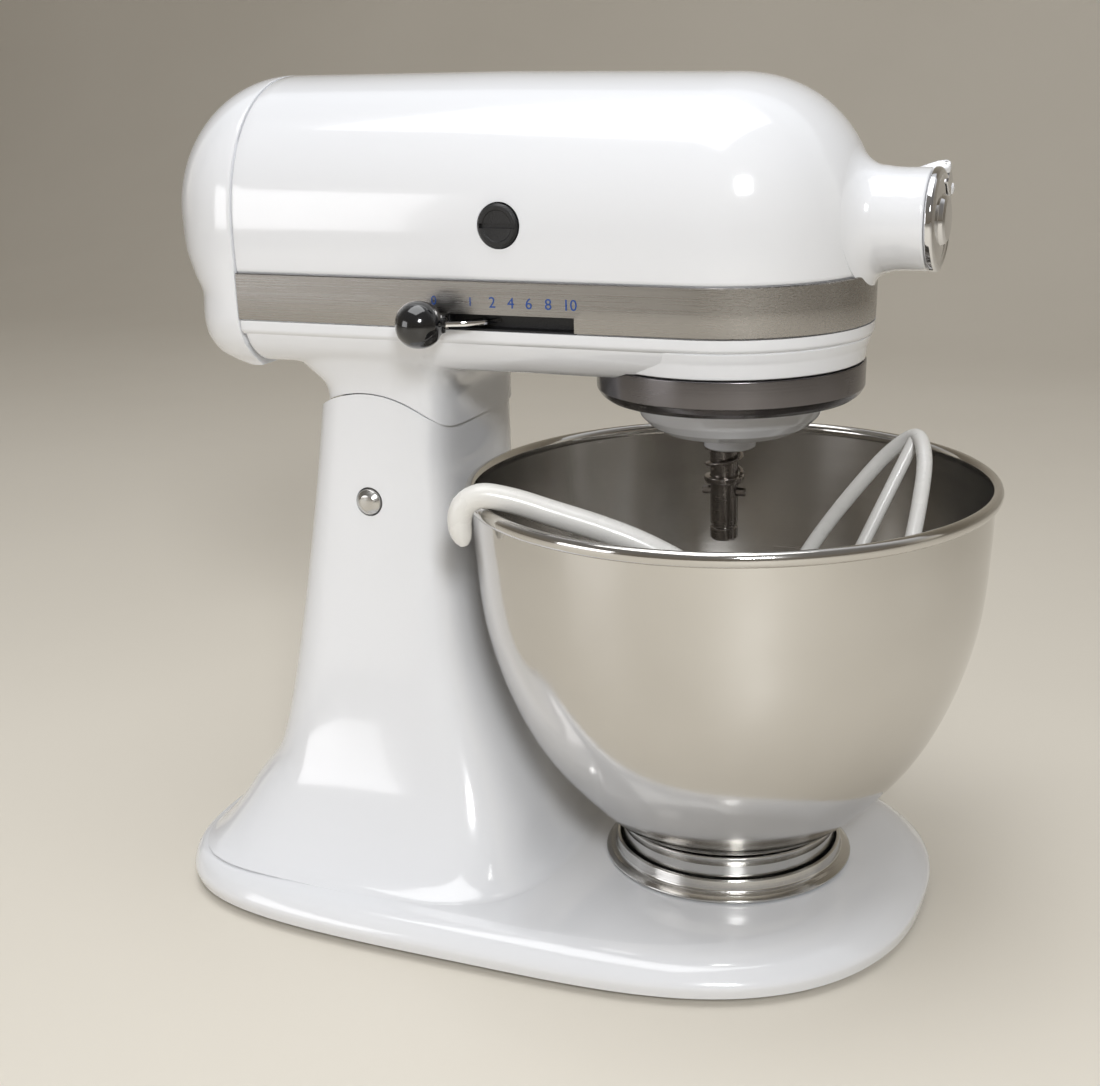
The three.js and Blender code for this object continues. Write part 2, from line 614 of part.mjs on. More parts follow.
function flatBeater() {
  const u = new THREE.Vector3(...BEATER.up).normalize();
  const side = new THREE.Vector3(0.62, -0.78, 0);
  const w = side.clone().addScaledVector(u, -side.dot(u)).normalize();
  const o = new THREE.Vector3(...BEATER.apex).addScaledVector(u, -BEATER.length);
  const at = (q, p) => o.clone().addScaledVector(u, q).addScaledVector(w, p).toArray();
  const half = [[46, 30], [66, 43], [96, 40], [128, 27], [150, 13]];
  const loop = [[38, 0], ...half, [158, 0], ...[...half].reverse().map(([q, p]) => [q, -p])];
  const frame = bent(loop.map(([q, p]) => at(q, p)), 3.3, 7, 30, true);
  const spine = bent([at(36, 0), at(90, 0), at(157, 0)], 2.8, 7, 3);
  const cross = bent([at(74, -42), at(86, 0), at(112, 34)], 2.8, 7, 4);
  const collar = bent([at(6, 0), at(22, 0), at(44, 0)], 8, 10, 3);
  return add(frame, spine, cross, collar);
}

// Turns a solid made above the hub round the hub's axis to where the cover's hinge sits.
const toHinge = (body) => body.translate([0, 0, -HUB.z]).rotate([COVER_HINGE.turn, 0, 0]).translate([0, 0, HUB.z]);
const hingeBore = (r, y) => rod("y", r, -y, y, COVER_HINGE.x, 0, HUB.z + COVER_HINGE.reach, 12);

function hubCover() {
  const profile = [[0, 79.9], [19.4, 79.9], [19.8, 80.6], [19.8, 82.4], [18.4, 83.6], [10, 84], [9, 85.4], [0, 85.8]];
  const made = turnAlong("x", profile, 36, 0, 0, HUB.z);
  const lug = box(80.5, 84, -4, 4, HUB.z + 14, HUB.z + 22.6);
  const notch = box(79, 90, 4, 9, HUB.z + 13, HUB.z + 25);
  return toHinge(made.subtract(notch).subtract(notch.mirror([0, 1, 0])).add(lug).subtract(hingeBore(1.3, 10)));
}

const hubCoverPin = () => toHinge(hingeBore(1, 8));

function hubEars() {
  const ear = box(72, 84, 4.4, 8, HUB.z + 14, HUB.z + 23);
  const pair = ear.add(ear.mirror([0, 1, 0])).subtract(hingeBore(1.3, 10));
  return toHinge(pair.subtract(rod("x", 20.2, 79.7, 90, 0, 0, HUB.z, 36)));
}

const ATTACHMENT_KNOB_X = 68;

function attachmentKnob() {
  const profile = [[0, 13], [3.9, 13], [3.9, 20.6], [6, 21], [8.6, 23], [9.4, 27], [9.4, 33], [8, 35.6], [0, 36.4]];
  return turnAlong("y", profile, 24, ATTACHMENT_KNOB_X, 0, HUB.z);
}

const LEVER_PIVOT = [-72, -16];

function speedLever() {
  const run = [[-76, -15, 5.4], [-79, -44, 3.6], [-88, -60.5, 3], [-99, -66.5, 2]];
  const rings = run.map(([x, y, h], k) => {
    const [px, py] = run[Math.max(k - 1, 0)];
    const [qx, qy] = run[Math.min(k + 1, run.length - 1)];
    const l = Math.hypot(qx - px, qy - py);
    const [nx, ny] = [-(qy - py) / l, (qx - px) / l];
    const section = [[-h, 257.6], [h, 257.6], [h, 259.4], [-h, 259.4]];
    return section.map(([d, z]) => [x + nx * d, y + ny * d, z]);
  });
  const hub = rod("z", 8, 257.6, 259.4, ...LEVER_PIVOT, 0, 20);
  return loft(rings).add(hub).subtract(rod("z", 3.3, 250, 270, ...LEVER_PIVOT, 0, 16));
}

function speedKnob() {
  const dir = new THREE.Vector3(-11, -6.2, 0).normalize();
  const profile = [[0, 0], [3.4, 0], [4.2, 1.6], [7, 3.2], [9, 7], [9.4, 10.4], [8.2, 15], [5, 18.4], [0, 19.6]];
  const g = new THREE.LatheGeometry(profile.map(([r, t]) => new THREE.Vector2(r, t)), 24);
  g.applyQuaternion(new THREE.Quaternion().setFromUnitVectors(new THREE.Vector3(0, 1, 0), dir));
  g.translate(-96.5, -65, 258.5);
  return solid(g).subtract(box(-101.2, -90, -69, -60, 257.2, 259.8));
}

function controlPlate() {
  const made = box(-98, -60, -30, 10, 253, 255.4).add(rod("z", 3, 253, 262, ...LEVER_PIVOT, 0, 16));
  return made.subtract(rod("z", 2, 250, 270, -90, 0, 0, 12));
}

function armatureCore() {
  let made = rod("x", 30, -165, -105, 0, 0, WORM.z, 36);
  for (let i = 0; i < 12; i++) {
    const slot = box(-170, -100, -1.4, 1.4, 20, 32).rotate([30 * i, 0, 0]);
    made = made.subtract(slot.translate([0, 0, WORM.z]));
  }
  return made.subtract(rod("x", 5.3, -170, -100, 0, 0, WORM.z, 20));
}

function fan() {
  const disc = [[5.3, -181], [14, -181], [14, -171], [38, -171], [38, -169.6], [5.3, -169.6]];
  let made = turnAlong("x", disc, 24, 0, 0, WORM.z);
  for (let i = 0; i < 8; i++)
    made = made.add(box(-180, -170.5, -0.8, 0.8, 13, 37).rotate([45 * i, 0, 0]).translate([0, 0, WORM.z]));
  return made;
}

function stator() {
  const core = turnAlong("x", [[31.4, -162], [43, -162], [43, -108], [31.4, -108]], 32, 0, 0, WORM.z);
  return core.add(box(-168, -102, 32.5, 40, 283, 307)).add(box(-168, -102, -40, -32.5, 283, 307));
}

function armatureShaft() {
  return rod("x", 4, -191, -16, 0, 0, WORM.z, 16).add(rod("x", 5, -166, -62, 0, 0, WORM.z, 16));
}

const commutator = () => turnAlong("x", [[5.3, -90], [12, -90], [12, -66], [5.3, -66]], 24, 0, 0, WORM.z);
const bearing = (x) => turnAlong("x", [[4.3, x], [9, x], [9, x + 7], [4.3, x + 7]], 24, 0, 0, WORM.z);
const brushNear = () => rod("y", 3.6, -44, -12.5, BRUSH.x, 0, BRUSH.z, 12);
const brushFar = () => rod("y", 3.6, 12.5, 44, BRUSH.x, 0, BRUSH.z, 12);
const centreShaft = () => rod("z", 6, 213, 282.6, 0, 0, 0, 20);

function coverScrew() {
  const profile = [[0, -236], [4.6, -235.4], [5, -234.2], [2.3, -233.6], [2.3, -200], [0, -200]];
  return turnAlong("x", profile, 16, 0, 0, COVER_SCREW_Z);
}

function cordGland() {
  const flange = [[3.2, -238], [5.4, -238], [7.6, -234.4], [7.6, -233.2], [5.9, -232.6]];
  return turnAlong("x", [...flange, [5.9, -222], [3.2, -222]], 20, 0, CORD.y, CORD.z);
}

function heightScrew() {
  return turn([[0, 112], [3, 112], [3, 134.4], [6, 134.6], [6, 138.4], [5, 139.2], [0, 139.4]], 16, HEIGHT_SCREW_X, 0);
}

function lockLever() {
  const shaft = rod("y", 4.6, 28, 55, LOCK.x, 0, LOCK.z, 16);
  const rings = [[-166, 158, 7], [-160, 172, 5], [-152, 190, 4.2]].map(([x, z, h]) => {
    return [[x - h, 51, z], [x + h, 51, z], [x + h, 54.4, z], [x - h, 54.4, z]];
  });
  return shaft.add(loft(rings));
}

function lockKnob() {
  const profile = [[0, 54.8], [4, 54.8], [8.4, 57], [9.4, 61], [8, 66], [4, 68], [0, 68.4]];
  return turnAlong("y", profile, 20, -152.4, 0, 187);
}

const part = new THREE.Group();

function put(name, look, body) {
  const mesh = body.getMesh();
  const g = new THREE.BufferGeometry();
  g.setAttribute("position", new THREE.Float32BufferAttribute(mesh.vertProperties, mesh.numProp));
  g.setIndex(new THREE.BufferAttribute(mesh.triVerts, 1));
  const [color, roughness, metalness] = M[look];
  const made = new THREE.Mesh(g, new THREE.MeshStandardMaterial({ color, roughness, metalness }));
  made.name = name;
  made.position.set(-BODY_CENTRE[0], -BODY_CENTRE[1], 0);
  part.add(made);
}

put("base", "enamel", base());
FEET.forEach(([x, y], i) => put(`foot_${i + 1}`, "rubber", foot(x, y)));
put("clamp_plate", "steel", clampPlate());
screwPlaces().forEach((place, i) => put(`plate_screw_${i + 1}`, "steel", plateScrew(place)));
put("hinge_pin", "steel", hingePin());
put("height_screw", "steel", heightScrew());
put("lock_lever", "chrome", lockLever());
put("lock_knob", "black_gloss", lockKnob());
put("lower_case", "enamel", lowerCase());
put("motor_housing", "enamel", motorHousing().add(hubEars()));
put("end_cover", "enamel", endCover());
put("cover_screw", "steel", coverScrew());
put("cord_gland", "black_matte", cordGland());
put("trim_band", "steel", trimBand());
put("drip_ring", "satin", dripRing());
put("brush_cap_near", "black_matte", brushCap(-1));
put("brush_cap_far", "black_matte", brushCap(1));
put("brush_near", "carbon", brushNear());
put("brush_far", "carbon", brushFar());
put("control_plate", "steel", controlPlate());
put("speed_lever", "chrome", speedLever());
put("speed_knob", "black_gloss", speedKnob());
put("stator", "iron", stator());
put("armature_shaft", "dark_steel", armatureShaft());
put("armature_core", "iron", armatureCore());
put("commutator", "copper", commutator());
put("fan", "black_matte", fan());
put("bearing_rear", "bronze", bearing(-190));
put("bearing_front", "bronze", bearing(-61));
put("worm", "dark_steel", worm());
put("worm_wheel", "bronze", wheel());
put("pinion_shaft", "dark_steel", pinionShaft());
put("centre_gear", "dark_steel", centreGear());
put("centre_shaft", "dark_steel", centreShaft());
put("bevel_pinion", "dark_steel", bevelPinion());
put("hub_gear", "dark_steel", hubGear());
put("hub_bush", "bronze", hubBush());
put("ring_gear", "iron", ringGear());
put("planetary", "enamel", planetary());
put("planet_pinion", "dark_steel", planetPinion());
put("beater_shaft", "dark_steel", beaterShaft());
put("cross_pin", "dark_steel", crossPin());
put("spring", "dark_steel", spring());
put("washer", "dark_steel", washer());
put("hub_cover", "chrome", hubCover());
put("hub_cover_pin", "steel", hubCoverPin());
put("attachment_knob", "black_gloss", attachmentKnob());
put("bowl", "steel", bowl());
put("bowl_foot", "steel", bowlFoot());
put("bowl_handle", "dark_steel", bowlHandle());
put("dough_hook", "coating", doughHook());
put("flat_beater", "coating", flatBeater());

export default part;
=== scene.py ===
"""Looks of a tilt-head stand mixer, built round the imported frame.

Sizes are millimetres unless a comment says otherwise. The bowl's upright axis is at x = 0, y = 0, the worktop
is at z = 0, and the head points along +X.
"""
import math

import bmesh
import bpy
import numpy as np
from mathutils import Matrix, Vector


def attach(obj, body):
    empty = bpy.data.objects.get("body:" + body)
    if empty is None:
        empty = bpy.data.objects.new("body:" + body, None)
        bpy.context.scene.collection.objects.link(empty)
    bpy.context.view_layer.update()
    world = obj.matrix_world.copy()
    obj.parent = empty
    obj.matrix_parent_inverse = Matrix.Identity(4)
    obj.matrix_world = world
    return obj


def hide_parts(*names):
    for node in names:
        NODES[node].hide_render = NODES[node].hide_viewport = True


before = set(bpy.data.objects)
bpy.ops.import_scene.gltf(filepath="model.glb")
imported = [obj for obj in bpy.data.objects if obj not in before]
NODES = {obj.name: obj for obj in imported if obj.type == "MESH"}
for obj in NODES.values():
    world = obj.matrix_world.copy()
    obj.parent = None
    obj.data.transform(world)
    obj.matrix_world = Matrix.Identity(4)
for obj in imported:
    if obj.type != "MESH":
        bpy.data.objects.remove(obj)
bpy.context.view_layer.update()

ORIGIN = np.array([-68.055, 10.175, 0.0])  # the row frame's origin, measured from the bowl's axis
MM = 0.001
PIN_X, PIN_Z = -147.5, 176.5  # hinge of the head
SEAM_R = 46.5  # where column and neck meet, about the hinge
HUB_Z, HUB_R = 295.0, 19.5
SHELL_W, SHELL_Z, SHELL_H, SHELL_N = 57.9, 291.0, 59.8, 2.2  # the head's side seen from in front
HEAD_REAR = -197.0
SHELL_TOP = SHELL_Z + SHELL_H
CROWN_Z, CROWN_RISE = 300.0, 1.6  # above this height the head's top rises towards the rear, by this much
COVER_Z, COVER_REACH, COVER_H, COVER_N = 298.0, 49.5, 54.4, 1.9  # the end cover's dome seen from the side
SHAFT_X, SHAFT_Y = -9.692, 23.58  # beater shaft at rest
SHAFT_Z = 154.0  # its lower end
PIN_BORE, HUB_BORE, SHAFT_BORE = 6.3, 13.3, 6.4
BRUSH_X, BRUSH_Z, BRUSH_BORE = -75.5, 296.0, 9.0
SLOT_X0, SLOT_X1, SLOT_Z0, SLOT_Z1 = -98.6, -45.1, 255.6, 261.3  # opening for the speed lever
SCREW_Z = 247.0  # screw and gland of the end cover
LOCK_X, LOCK_Z = -166.0, 158.0
KNOB_X = 68.0  # attachment knob
TAU = 2 * math.pi


# ---------------------------------------------------------------- shapes
def joined(*shapes):
    """Several (points, faces) shapes as one."""
    points, faces, start = [], [], 0
    for p, f in shapes:
        points.append(np.asarray(p, float))
        faces += [[i + start for i in face] for face in f]
        start += len(p)
    return np.concatenate(points), faces


def grid(rings, wrap=True, ends=True):
    """A skin over rings of points; each ring closes on itself, and fans close the first and last."""
    rings = np.asarray(rings, float)
    m, n = rings.shape[:2]
    points = rings.reshape(-1, 3)
    faces = []
    for k in range(m - 1):
        for i in range(n if wrap else n - 1):
            j = (i + 1) % n
            faces.append([k * n + i, k * n + j, (k + 1) * n + j, (k + 1) * n + i])
    if ends:
        middles = np.array([rings[0].mean(0), rings[-1].mean(0)])
        for e, k in enumerate((0, m - 1)):
            c = len(points) + e
            faces += [[c, k * n + i, k * n + (i + 1) % n] for i in range(n)]
        points = np.concatenate([points, middles])
    return points, faces


def turn(profile, seg=96, centre=(0, 0, 0), axis="z"):
    """A closed profile of (radius, height) pairs turned about an axis through centre."""
    profile = np.asarray(profile, float)
    a = np.linspace(0, TAU, seg, endpoint=False)
    r, h = profile[:, :1], profile[:, 1:]
    u, v, w = r * np.cos(a), r * np.sin(a), h + 0 * a
    order = {"z": (u, v, w), "x": (w, u, v), "y": (v, w, u)}[axis]
    rings = np.stack(order, 2) + np.array(centre, float)
    if profile[0][0] > 0:
        rings = np.concatenate([rings, rings[:1]])
    return grid(rings, ends=False)


def rod(radius, low, high, seg, centre=(0, 0, 0), axis="z"):
    return turn([(0, low), (radius, low), (radius, high), (0, high)], seg, centre, axis)


def rounded(points, radius, steps=5):
    """The corners of a line of (r, z) points turned into arcs; one radius, or one for each point."""
    pts = [np.array(p, float) for p in points]
    radii = [radius] * len(pts) if np.isscalar(radius) else list(radius)
    out = [pts[0]]
    for k in range(1, len(pts) - 1):
        a, b, c = pts[k - 1], pts[k], pts[k + 1]
        u, v = a - b, c - b
        lu, lv = np.linalg.norm(u), np.linalg.norm(v)
        u, v = u / lu, v / lv
        half = math.acos(max(-1, min(1, float(u @ v)))) / 2
        if radii[k] <= 0 or half > 1.55:
            out.append(b)
            continue
        reach = min(radii[k] / math.tan(half), 0.48 * lu, 0.48 * lv)
        p, q = b + u * reach, b + v * reach
        for t in np.linspace(0, 1, steps):
            out.append((1 - t) ** 2 * p + 2 * t * (1 - t) * b + t * t * q)
    out.append(pts[-1])
    return out


def monotone(keys, values, at):
    """A smooth curve through a table that adds no bumps of its own."""
    x, y, at = (np.asarray(v, float) for v in (keys, values, at))
    h, d = np.diff(x), np.diff(y) / np.diff(x)
    m = np.zeros(len(x))
    for i in range(1, len(x) - 1):
        if d[i - 1] * d[i] > 0:
            w1, w2 = 2 * h[i] + h[i - 1], h[i] + 2 * h[i - 1]
            m[i] = (w1 + w2) / (w1 / d[i - 1] + w2 / d[i])
    m[0], m[-1] = d[0], d[-1]
    i = np.clip(np.searchsorted(x, at, side="right") - 1, 0, len(x) - 2)
    t = (at - x[i]) / h[i]
    a, b = 2 * t**3 - 3 * t**2 + 1, t**3 - 2 * t**2 + t
    return a * y[i] + b * h[i] * m[i] + (3 * t**2 - 2 * t**3) * y[i + 1] + (t**3 - t**2) * h[i] * m[i + 1]


def spline(points, count):
    """Evenly spaced points on a smooth curve through the given ones."""
    p = np.asarray(points, float)
    s = np.concatenate([[0], np.cumsum(np.linalg.norm(np.diff(p, axis=0), axis=1) ** 0.5)])
    q = np.concatenate([[2 * p[0] - p[1]], p, [2 * p[-1] - p[-2]]])
    k = np.concatenate([[-s[1]], s, [2 * s[-1] - s[-2]]])
    fine = []
    for i in range(1, len(q) - 2):
        for t in np.linspace(k[i], k[i + 1], 24, endpoint=False):
            a = [(k[i + j] - t) / (k[i + j] - k[i + j - 1]) for j in (0, 1, 2)]
            l1 = a[0] * q[i - 1] + (1 - a[0]) * q[i]
            l2 = a[1] * q[i] + (1 - a[1]) * q[i + 1]
            l3 = a[2] * q[i + 1] + (1 - a[2]) * q[i + 2]
            b0 = (k[i + 1] - t) / (k[i + 1] - k[i - 1])
            b1 = (k[i + 2] - t) / (k[i + 2] - k[i])
            m1, m2 = b0 * l1 + (1 - b0) * l2, b1 * l2 + (1 - b1) * l3
            c = (k[i + 1] - t) / (k[i + 1] - k[i])
            fine.append(c * m1 + (1 - c) * m2)
    fine = np.array(fine + [p[-1]])
    d = np.concatenate([[0], np.cumsum(np.linalg.norm(np.diff(fine, axis=0), axis=1))])
    at = np.linspace(0, d[-1], count)
    return np.stack([np.interp(at, d, fine[:, j]) for j in range(3)], 1)


def sweep(path, section, first_normal=(0, 0, 1), scale=None, loop=False):
    """A flat section carried along a path without twisting."""
    path = np.asarray(path, float)
    tangents = np.gradient(path, axis=0)
    if loop:
        tangents = np.roll(path, -1, 0) - np.roll(path, 1, 0)
    tangents /= np.linalg.norm(tangents, axis=1)[:, None]
    n = np.array(first_normal, float)
    rings = []
    for k, (p, t) in enumerate(zip(path, tangents)):
        n = n - t * (n @ t)
        n /= np.linalg.norm(n)
        b = np.cross(t, n)
        f = 1.0 if scale is None else scale[k]
        rings.append([p + f * (n * u + b * v) for u, v in section])
    if loop:
        rings.append(rings[0])
    return grid(rings, ends=not loop)


def circle(r, seg=20, flat=1.0):
    return [(r * math.cos(TAU * i / seg), flat * r * math.sin(TAU * i / seg)) for i in range(seg)]


def outline(z, xf, xr, b, nf, nr, seg=168):
    """A rounded plan outline: front and rear reach, half width, and how square it is in front and behind."""
    t = np.linspace(0, TAU, seg, endpoint=False)
    c, s = np.cos(t), np.sin(t)
    n = nr + (nf - nr) * (1 + c) / 2
    r = (np.abs(c) ** n + np.abs(s) ** n) ** (-1 / n)
    return np.stack([(xf + xr) / 2 + (xf - xr) / 2 * r * c, b * r * s, np.full(seg, z)], 1)


def lofted(table, heights, seg=168):
    """A skin through the plan outlines of a table, smoothed between its rows."""
    table = np.array(table, float)
    cols = [monotone(table[:, 0], table[:, j], heights) for j in range(1, table.shape[1])]
    return [outline(z, *(c[i] for c in cols), seg=seg) for i, z in enumerate(heights)]


def bullet(profile, rear, soften=0.0, nose=72, rise=CROWN_RISE):
    """A side profile of (z, half width) carried along the head and round its nose, open at neither end."""
    back = [(rear, 0.0)]
    if soften:
        back = [(rear + part * soften, drop) for part, drop in ((0, 1.0), (0.25, 0.45), (0.6, 0.12),
                                                                (1, 0.0))]
    straight = back + [(x, 0.0) for x in np.linspace(rear + 6, 0, 34)]
    half = np.linspace(-math.pi / 2, math.pi / 2, nose + 1)[1:-1]
    stations = [(x, -math.pi / 2, d) for x, d in straight] + [(0.0, a, 0.0) for a in half]
    stations += [(x, math.pi / 2, d) for x, d in reversed(straight)]
    x, a, d = (np.array(v) for v in zip(*stations))
    d = d * soften
    profile = np.asarray(profile, float)
    z, w = profile[:, :1], profile[:, 1:]
    crowned = profile[-1][0] > CROWN_Z
    up = np.clip((z - CROWN_Z) / (profile[-1][0] - CROWN_Z - 1e-4), 0, 1) if crowned else 0 * z
    wide = np.maximum(w - d * w / SHELL_W, 0)
    high = z + rise * np.clip(-x / 95, 0, 1) * up - d * up
    points = np.stack([x + wide * np.cos(a), wide * np.sin(a), high], 2)
    m, n = points.shape[:2]
    faces = grid(points, wrap=False, ends=False)[1]
    faces.append([k * n for k in range(m)] + [k * n + n - 1 for k in reversed(range(m))])
    faces.append(list(range(n)))
    if profile[-1][1] > 0:
        faces.append([(m - 1) * n + i for i in range(n)])
    return points.reshape(-1, 3), faces


def block(x0, x1, y0, y1, z0, z1):
    p = [(x, y, z) for x in (x0, x1) for y in (y0, y1) for z in (z0, z1)]
    return np.array(p, float), [[0, 1, 3, 2], [4, 6, 7, 5], [0, 4, 5, 1], [2, 3, 7, 6], [0, 2, 6, 4],
                                [1, 5, 7, 3]]


def prism(flat, y0, y1):
    """A flat outline of (x, z) points drawn out along Y."""
    n = len(flat)
    p = [(x, y, z) for y in (y0, y1) for x, z in flat]
    sides = [[i, (i + 1) % n, n + (i + 1) % n, n + i] for i in range(n)]
    return np.array(p, float), sides + [list(range(n)), [n + i for i in reversed(range(n))]]


# ---------------------------------------------------------------- objects
def raw(name, shape):
    """A shape as an object in the row frame, in metres, with its faces out."""
    points, faces = shape
    me = bpy.data.meshes.new(name)
    me.from_pydata(((points - ORIGIN) * MM).tolist(), [], faces)
    bm = bmesh.new()
    bm.from_mesh(me)
    bmesh.ops.remove_doubles(bm, verts=bm.verts, dist=2e-7)
    bmesh.ops.dissolve_degenerate(bm, edges=bm.edges, dist=1e-7)
    bmesh.ops.recalc_face_normals(bm, faces=bm.faces)
    bm.to_mesh(me)
    bm.free()
    o = bpy.data.objects.new(name, me)
    bpy.context.scene.collection.objects.link(o)
    return o


def applied(o, *modifiers):
    """The object with modifiers (type, settings) worked into its mesh."""
    for kind, settings in modifiers:
        m = o.modifiers.new(kind, kind)
        for key, value in settings.items():
            setattr(m, key, value)
    graph = bpy.context.evaluated_depsgraph_get()
    made = bpy.data.meshes.new_from_object(o.evaluated_get(graph))
    o.modifiers.clear()
    old, o.data = o.data, made
    bpy.data.meshes.remove(old)
    return o


def bevelled(o, width, segments=2):
    """The object with its sharp edges eased."""
    return applied(o, ("BEVEL", {"width": width * MM, "segments": segments, "limit_method": "ANGLE"}))


def combine(o, operation, *shapes):
    """Cuts shapes from an object, or joins them to it, one after another."""
    for shape in shapes:
        other = raw("tool", shape)
        applied(o, ("BOOLEAN", {"operation": operation, "solver": "EXACT", "object": other}))
        bpy.data.objects.remove(other)
    return o


def soft(o, voxel, rounds):
    """The object melted into one smooth skin."""
    applied(o, ("REMESH", {"mode": "VOXEL", "voxel_size": voxel * MM, "use_smooth_shade": True}))
    return applied(o, ("SMOOTH", {"factor": 0.5, "iterations": rounds}))


def piece(o, body, look, stands_for=(), angle=32):
    """Finishes an object: shading, material, the body it rides on and the CAD nodes it stands for."""
    me = o.data
    me.polygons.foreach_set("use_smooth", [True] * len(me.polygons))
    me.set_sharp_from_angle(angle=math.radians(angle))
    if not me.materials:
        me.materials.append(look)
    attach(o, body)
    if stands_for:
        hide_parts(*stands_for)
    return o


# ---------------------------------------------------------------- materials
def surface(name, colour, rough, metal=0.0, coat=0.0, grain=(60, 60, 60), rough_by=0.04, tint=None, bump=0.02,
            streaks=None, streak_bump=0.0, streak_rough=0.0, spot=6.0, turned=0.0):
    """A finish with cloudy colour, uneven gloss and fine relief; streaks adds drawn or turned marks."""
    mat = bpy.data.materials.new(name)
    mat.use_nodes = True
    tree = mat.node_tree
    new, link = tree.nodes.new, tree.links.new
    shader = tree.nodes["Principled BSDF"]
    shader.inputs["Metallic"].default_value = metal
    shader.inputs["Coat Weight"].default_value = coat
    shader.inputs["Coat Roughness"].default_value = 0.06
    if turned:  # marks run round the upright axis, so highlights stretch up and down
        shader.inputs["Anisotropic"].default_value = turned
        shader.inputs["Anisotropic Rotation"].default_value = 0.25
        round_axis = new("ShaderNodeTangent")
        round_axis.direction_type, round_axis.axis = "RADIAL", "Z"
        link(round_axis.outputs["Tangent"], shader.inputs["Tangent"])
    place = new("ShaderNodeTexCoord")

    def noise(scale, detail, stretch=(1, 1, 1)):
        mapping = new("ShaderNodeMapping")
        mapping.inputs["Scale"].default_value = stretch
        link(place.outputs["Object"], mapping.inputs["Vector"])
        node = new("ShaderNodeTexNoise")
        node.inputs["Scale"].default_value = scale
        node.inputs["Detail"].default_value = detail
        link(mapping.outputs["Vector"], node.inputs["Vector"])
        return node.outputs["Fac"]

    def spread(value, low, high):
        node = new("ShaderNodeMapRange")
        node.inputs["From Min"].default_value = 0.3
        node.inputs["From Max"].default_value = 0.7
        node.inputs["To Min"].default_value = low
        node.inputs["To Max"].default_value = high
        link(value, node.inputs["Value"])
        return node.outputs["Result"]

    clouds = noise(spot, 4.0)
    mix = new("ShaderNodeMix")
    mix.data_type = "RGBA"
    mix.inputs["A"].default_value = (*colour, 1)
    mix.inputs["B"].default_value = (*(tint or [c * 0.93 for c in colour]), 1)
    link(spread(clouds, 0.0, 1.0), mix.inputs["Factor"])
    link(mix.outputs["Result"], shader.inputs["Base Color"])
    uneven = spread(noise(spot * 4, 5.0), max(rough - rough_by, 0.02), rough + rough_by)
    height = noise(1.0, 3.0, grain)
    if streaks:
        lines = noise(1.0, 2.0, streaks)
        total = new("ShaderNodeMath")
        total.operation = "ADD"
        link(uneven, total.inputs[0])
        link(spread(lines, -streak_rough, streak_rough), total.inputs[1])
        uneven = total.outputs["Value"]
        marks = new("ShaderNodeBump")
        marks.inputs["Strength"].default_value = streak_bump
        marks.inputs["Distance"].default_value = 0.0004
        link(lines, marks.inputs["Height"])
    link(uneven, shader.inputs["Roughness"])
    relief = new("ShaderNodeBump")
    relief.inputs["Strength"].default_value = bump
    relief.inputs["Distance"].default_value = 0.0006
    link(height, relief.inputs["Height"])
    if streaks:
        link(marks.outputs["Normal"], relief.inputs["Normal"])
    link(relief.outputs["Normal"], shader.inputs["Normal"])
    return mat


ENAMEL = surface("enamel", (0.80, 0.81, 0.835), 0.14, coat=0.7, grain=(260, 260, 260), rough_by=0.035,
                 tint=(0.775, 0.785, 0.81), bump=0.03)
BAND = surface("band_steel", (0.40, 0.385, 0.37), 0.27, metal=1, grain=(700, 700, 700), bump=0.03,
               streaks=(10, 900, 1900), streak_bump=0.08, streak_rough=0.05)
POLISHED = surface("bowl_polished", (0.66, 0.645, 0.62), 0.12, metal=1, grain=(300, 300, 300), rough_by=0.045,
                   tint=(0.60, 0.58, 0.55), bump=0.02, streaks=(4, 4, 1100), streak_bump=0.03,
                   streak_rough=0.02, spot=9, turned=0.35)
BRUSHED = surface("bowl_brushed", (0.66, 0.64, 0.61), 0.22, metal=1, grain=(500, 500, 500), rough_by=0.03,
                  tint=(0.60, 0.58, 0.55), bump=0.02, streaks=(2, 2, 1500), streak_bump=0.035,
                  streak_rough=0.03, spot=7, turned=0.65)
STEEL = surface("plain_steel", (0.63, 0.62, 0.60), 0.20, metal=1, grain=(400, 400, 400), bump=0.03,
                streaks=(8, 8, 1300), streak_bump=0.08, streak_rough=0.04, spot=20)
CHROME = surface("chrome", (0.80, 0.80, 0.81), 0.07, metal=1, grain=(300, 300, 300), rough_by=0.03,
                 bump=0.015, spot=30)
SATIN = surface("satin_chrome", (0.19, 0.18, 0.185), 0.22, metal=1, grain=(600, 600, 600), rough_by=0.05,
                bump=0.03, streaks=(6, 6, 1500), streak_bump=0.05, streak_rough=0.03, spot=14, turned=0.4)
DARK = surface("dark_steel", (0.33, 0.30, 0.28), 0.22, metal=1, grain=(500, 500, 500), bump=0.02,
               tint=(0.24, 0.22, 0.205), streaks=(12, 12, 1600), streak_bump=0.05, streak_rough=0.04, spot=60)
GLOSS = surface("gloss_black", (0.008, 0.008, 0.009), 0.10, coat=0.8, grain=(500, 500, 500), rough_by=0.04,
                bump=0.02, spot=40)
MATTE = surface("matte_black", (0.009, 0.009, 0.010), 0.40, grain=(1500, 1500, 1500), bump=0.25, spot=50)
RUBBER = surface("rubber", (0.035, 0.034, 0.033), 0.75, grain=(1800, 1800, 1800), bump=0.4, spot=60)
COATING = surface("coating", (0.80, 0.795, 0.775), 0.28, coat=0.25, grain=(700, 700, 700), rough_by=0.06,
                  tint=(0.75, 0.735, 0.70), bump=0.06, spot=22)
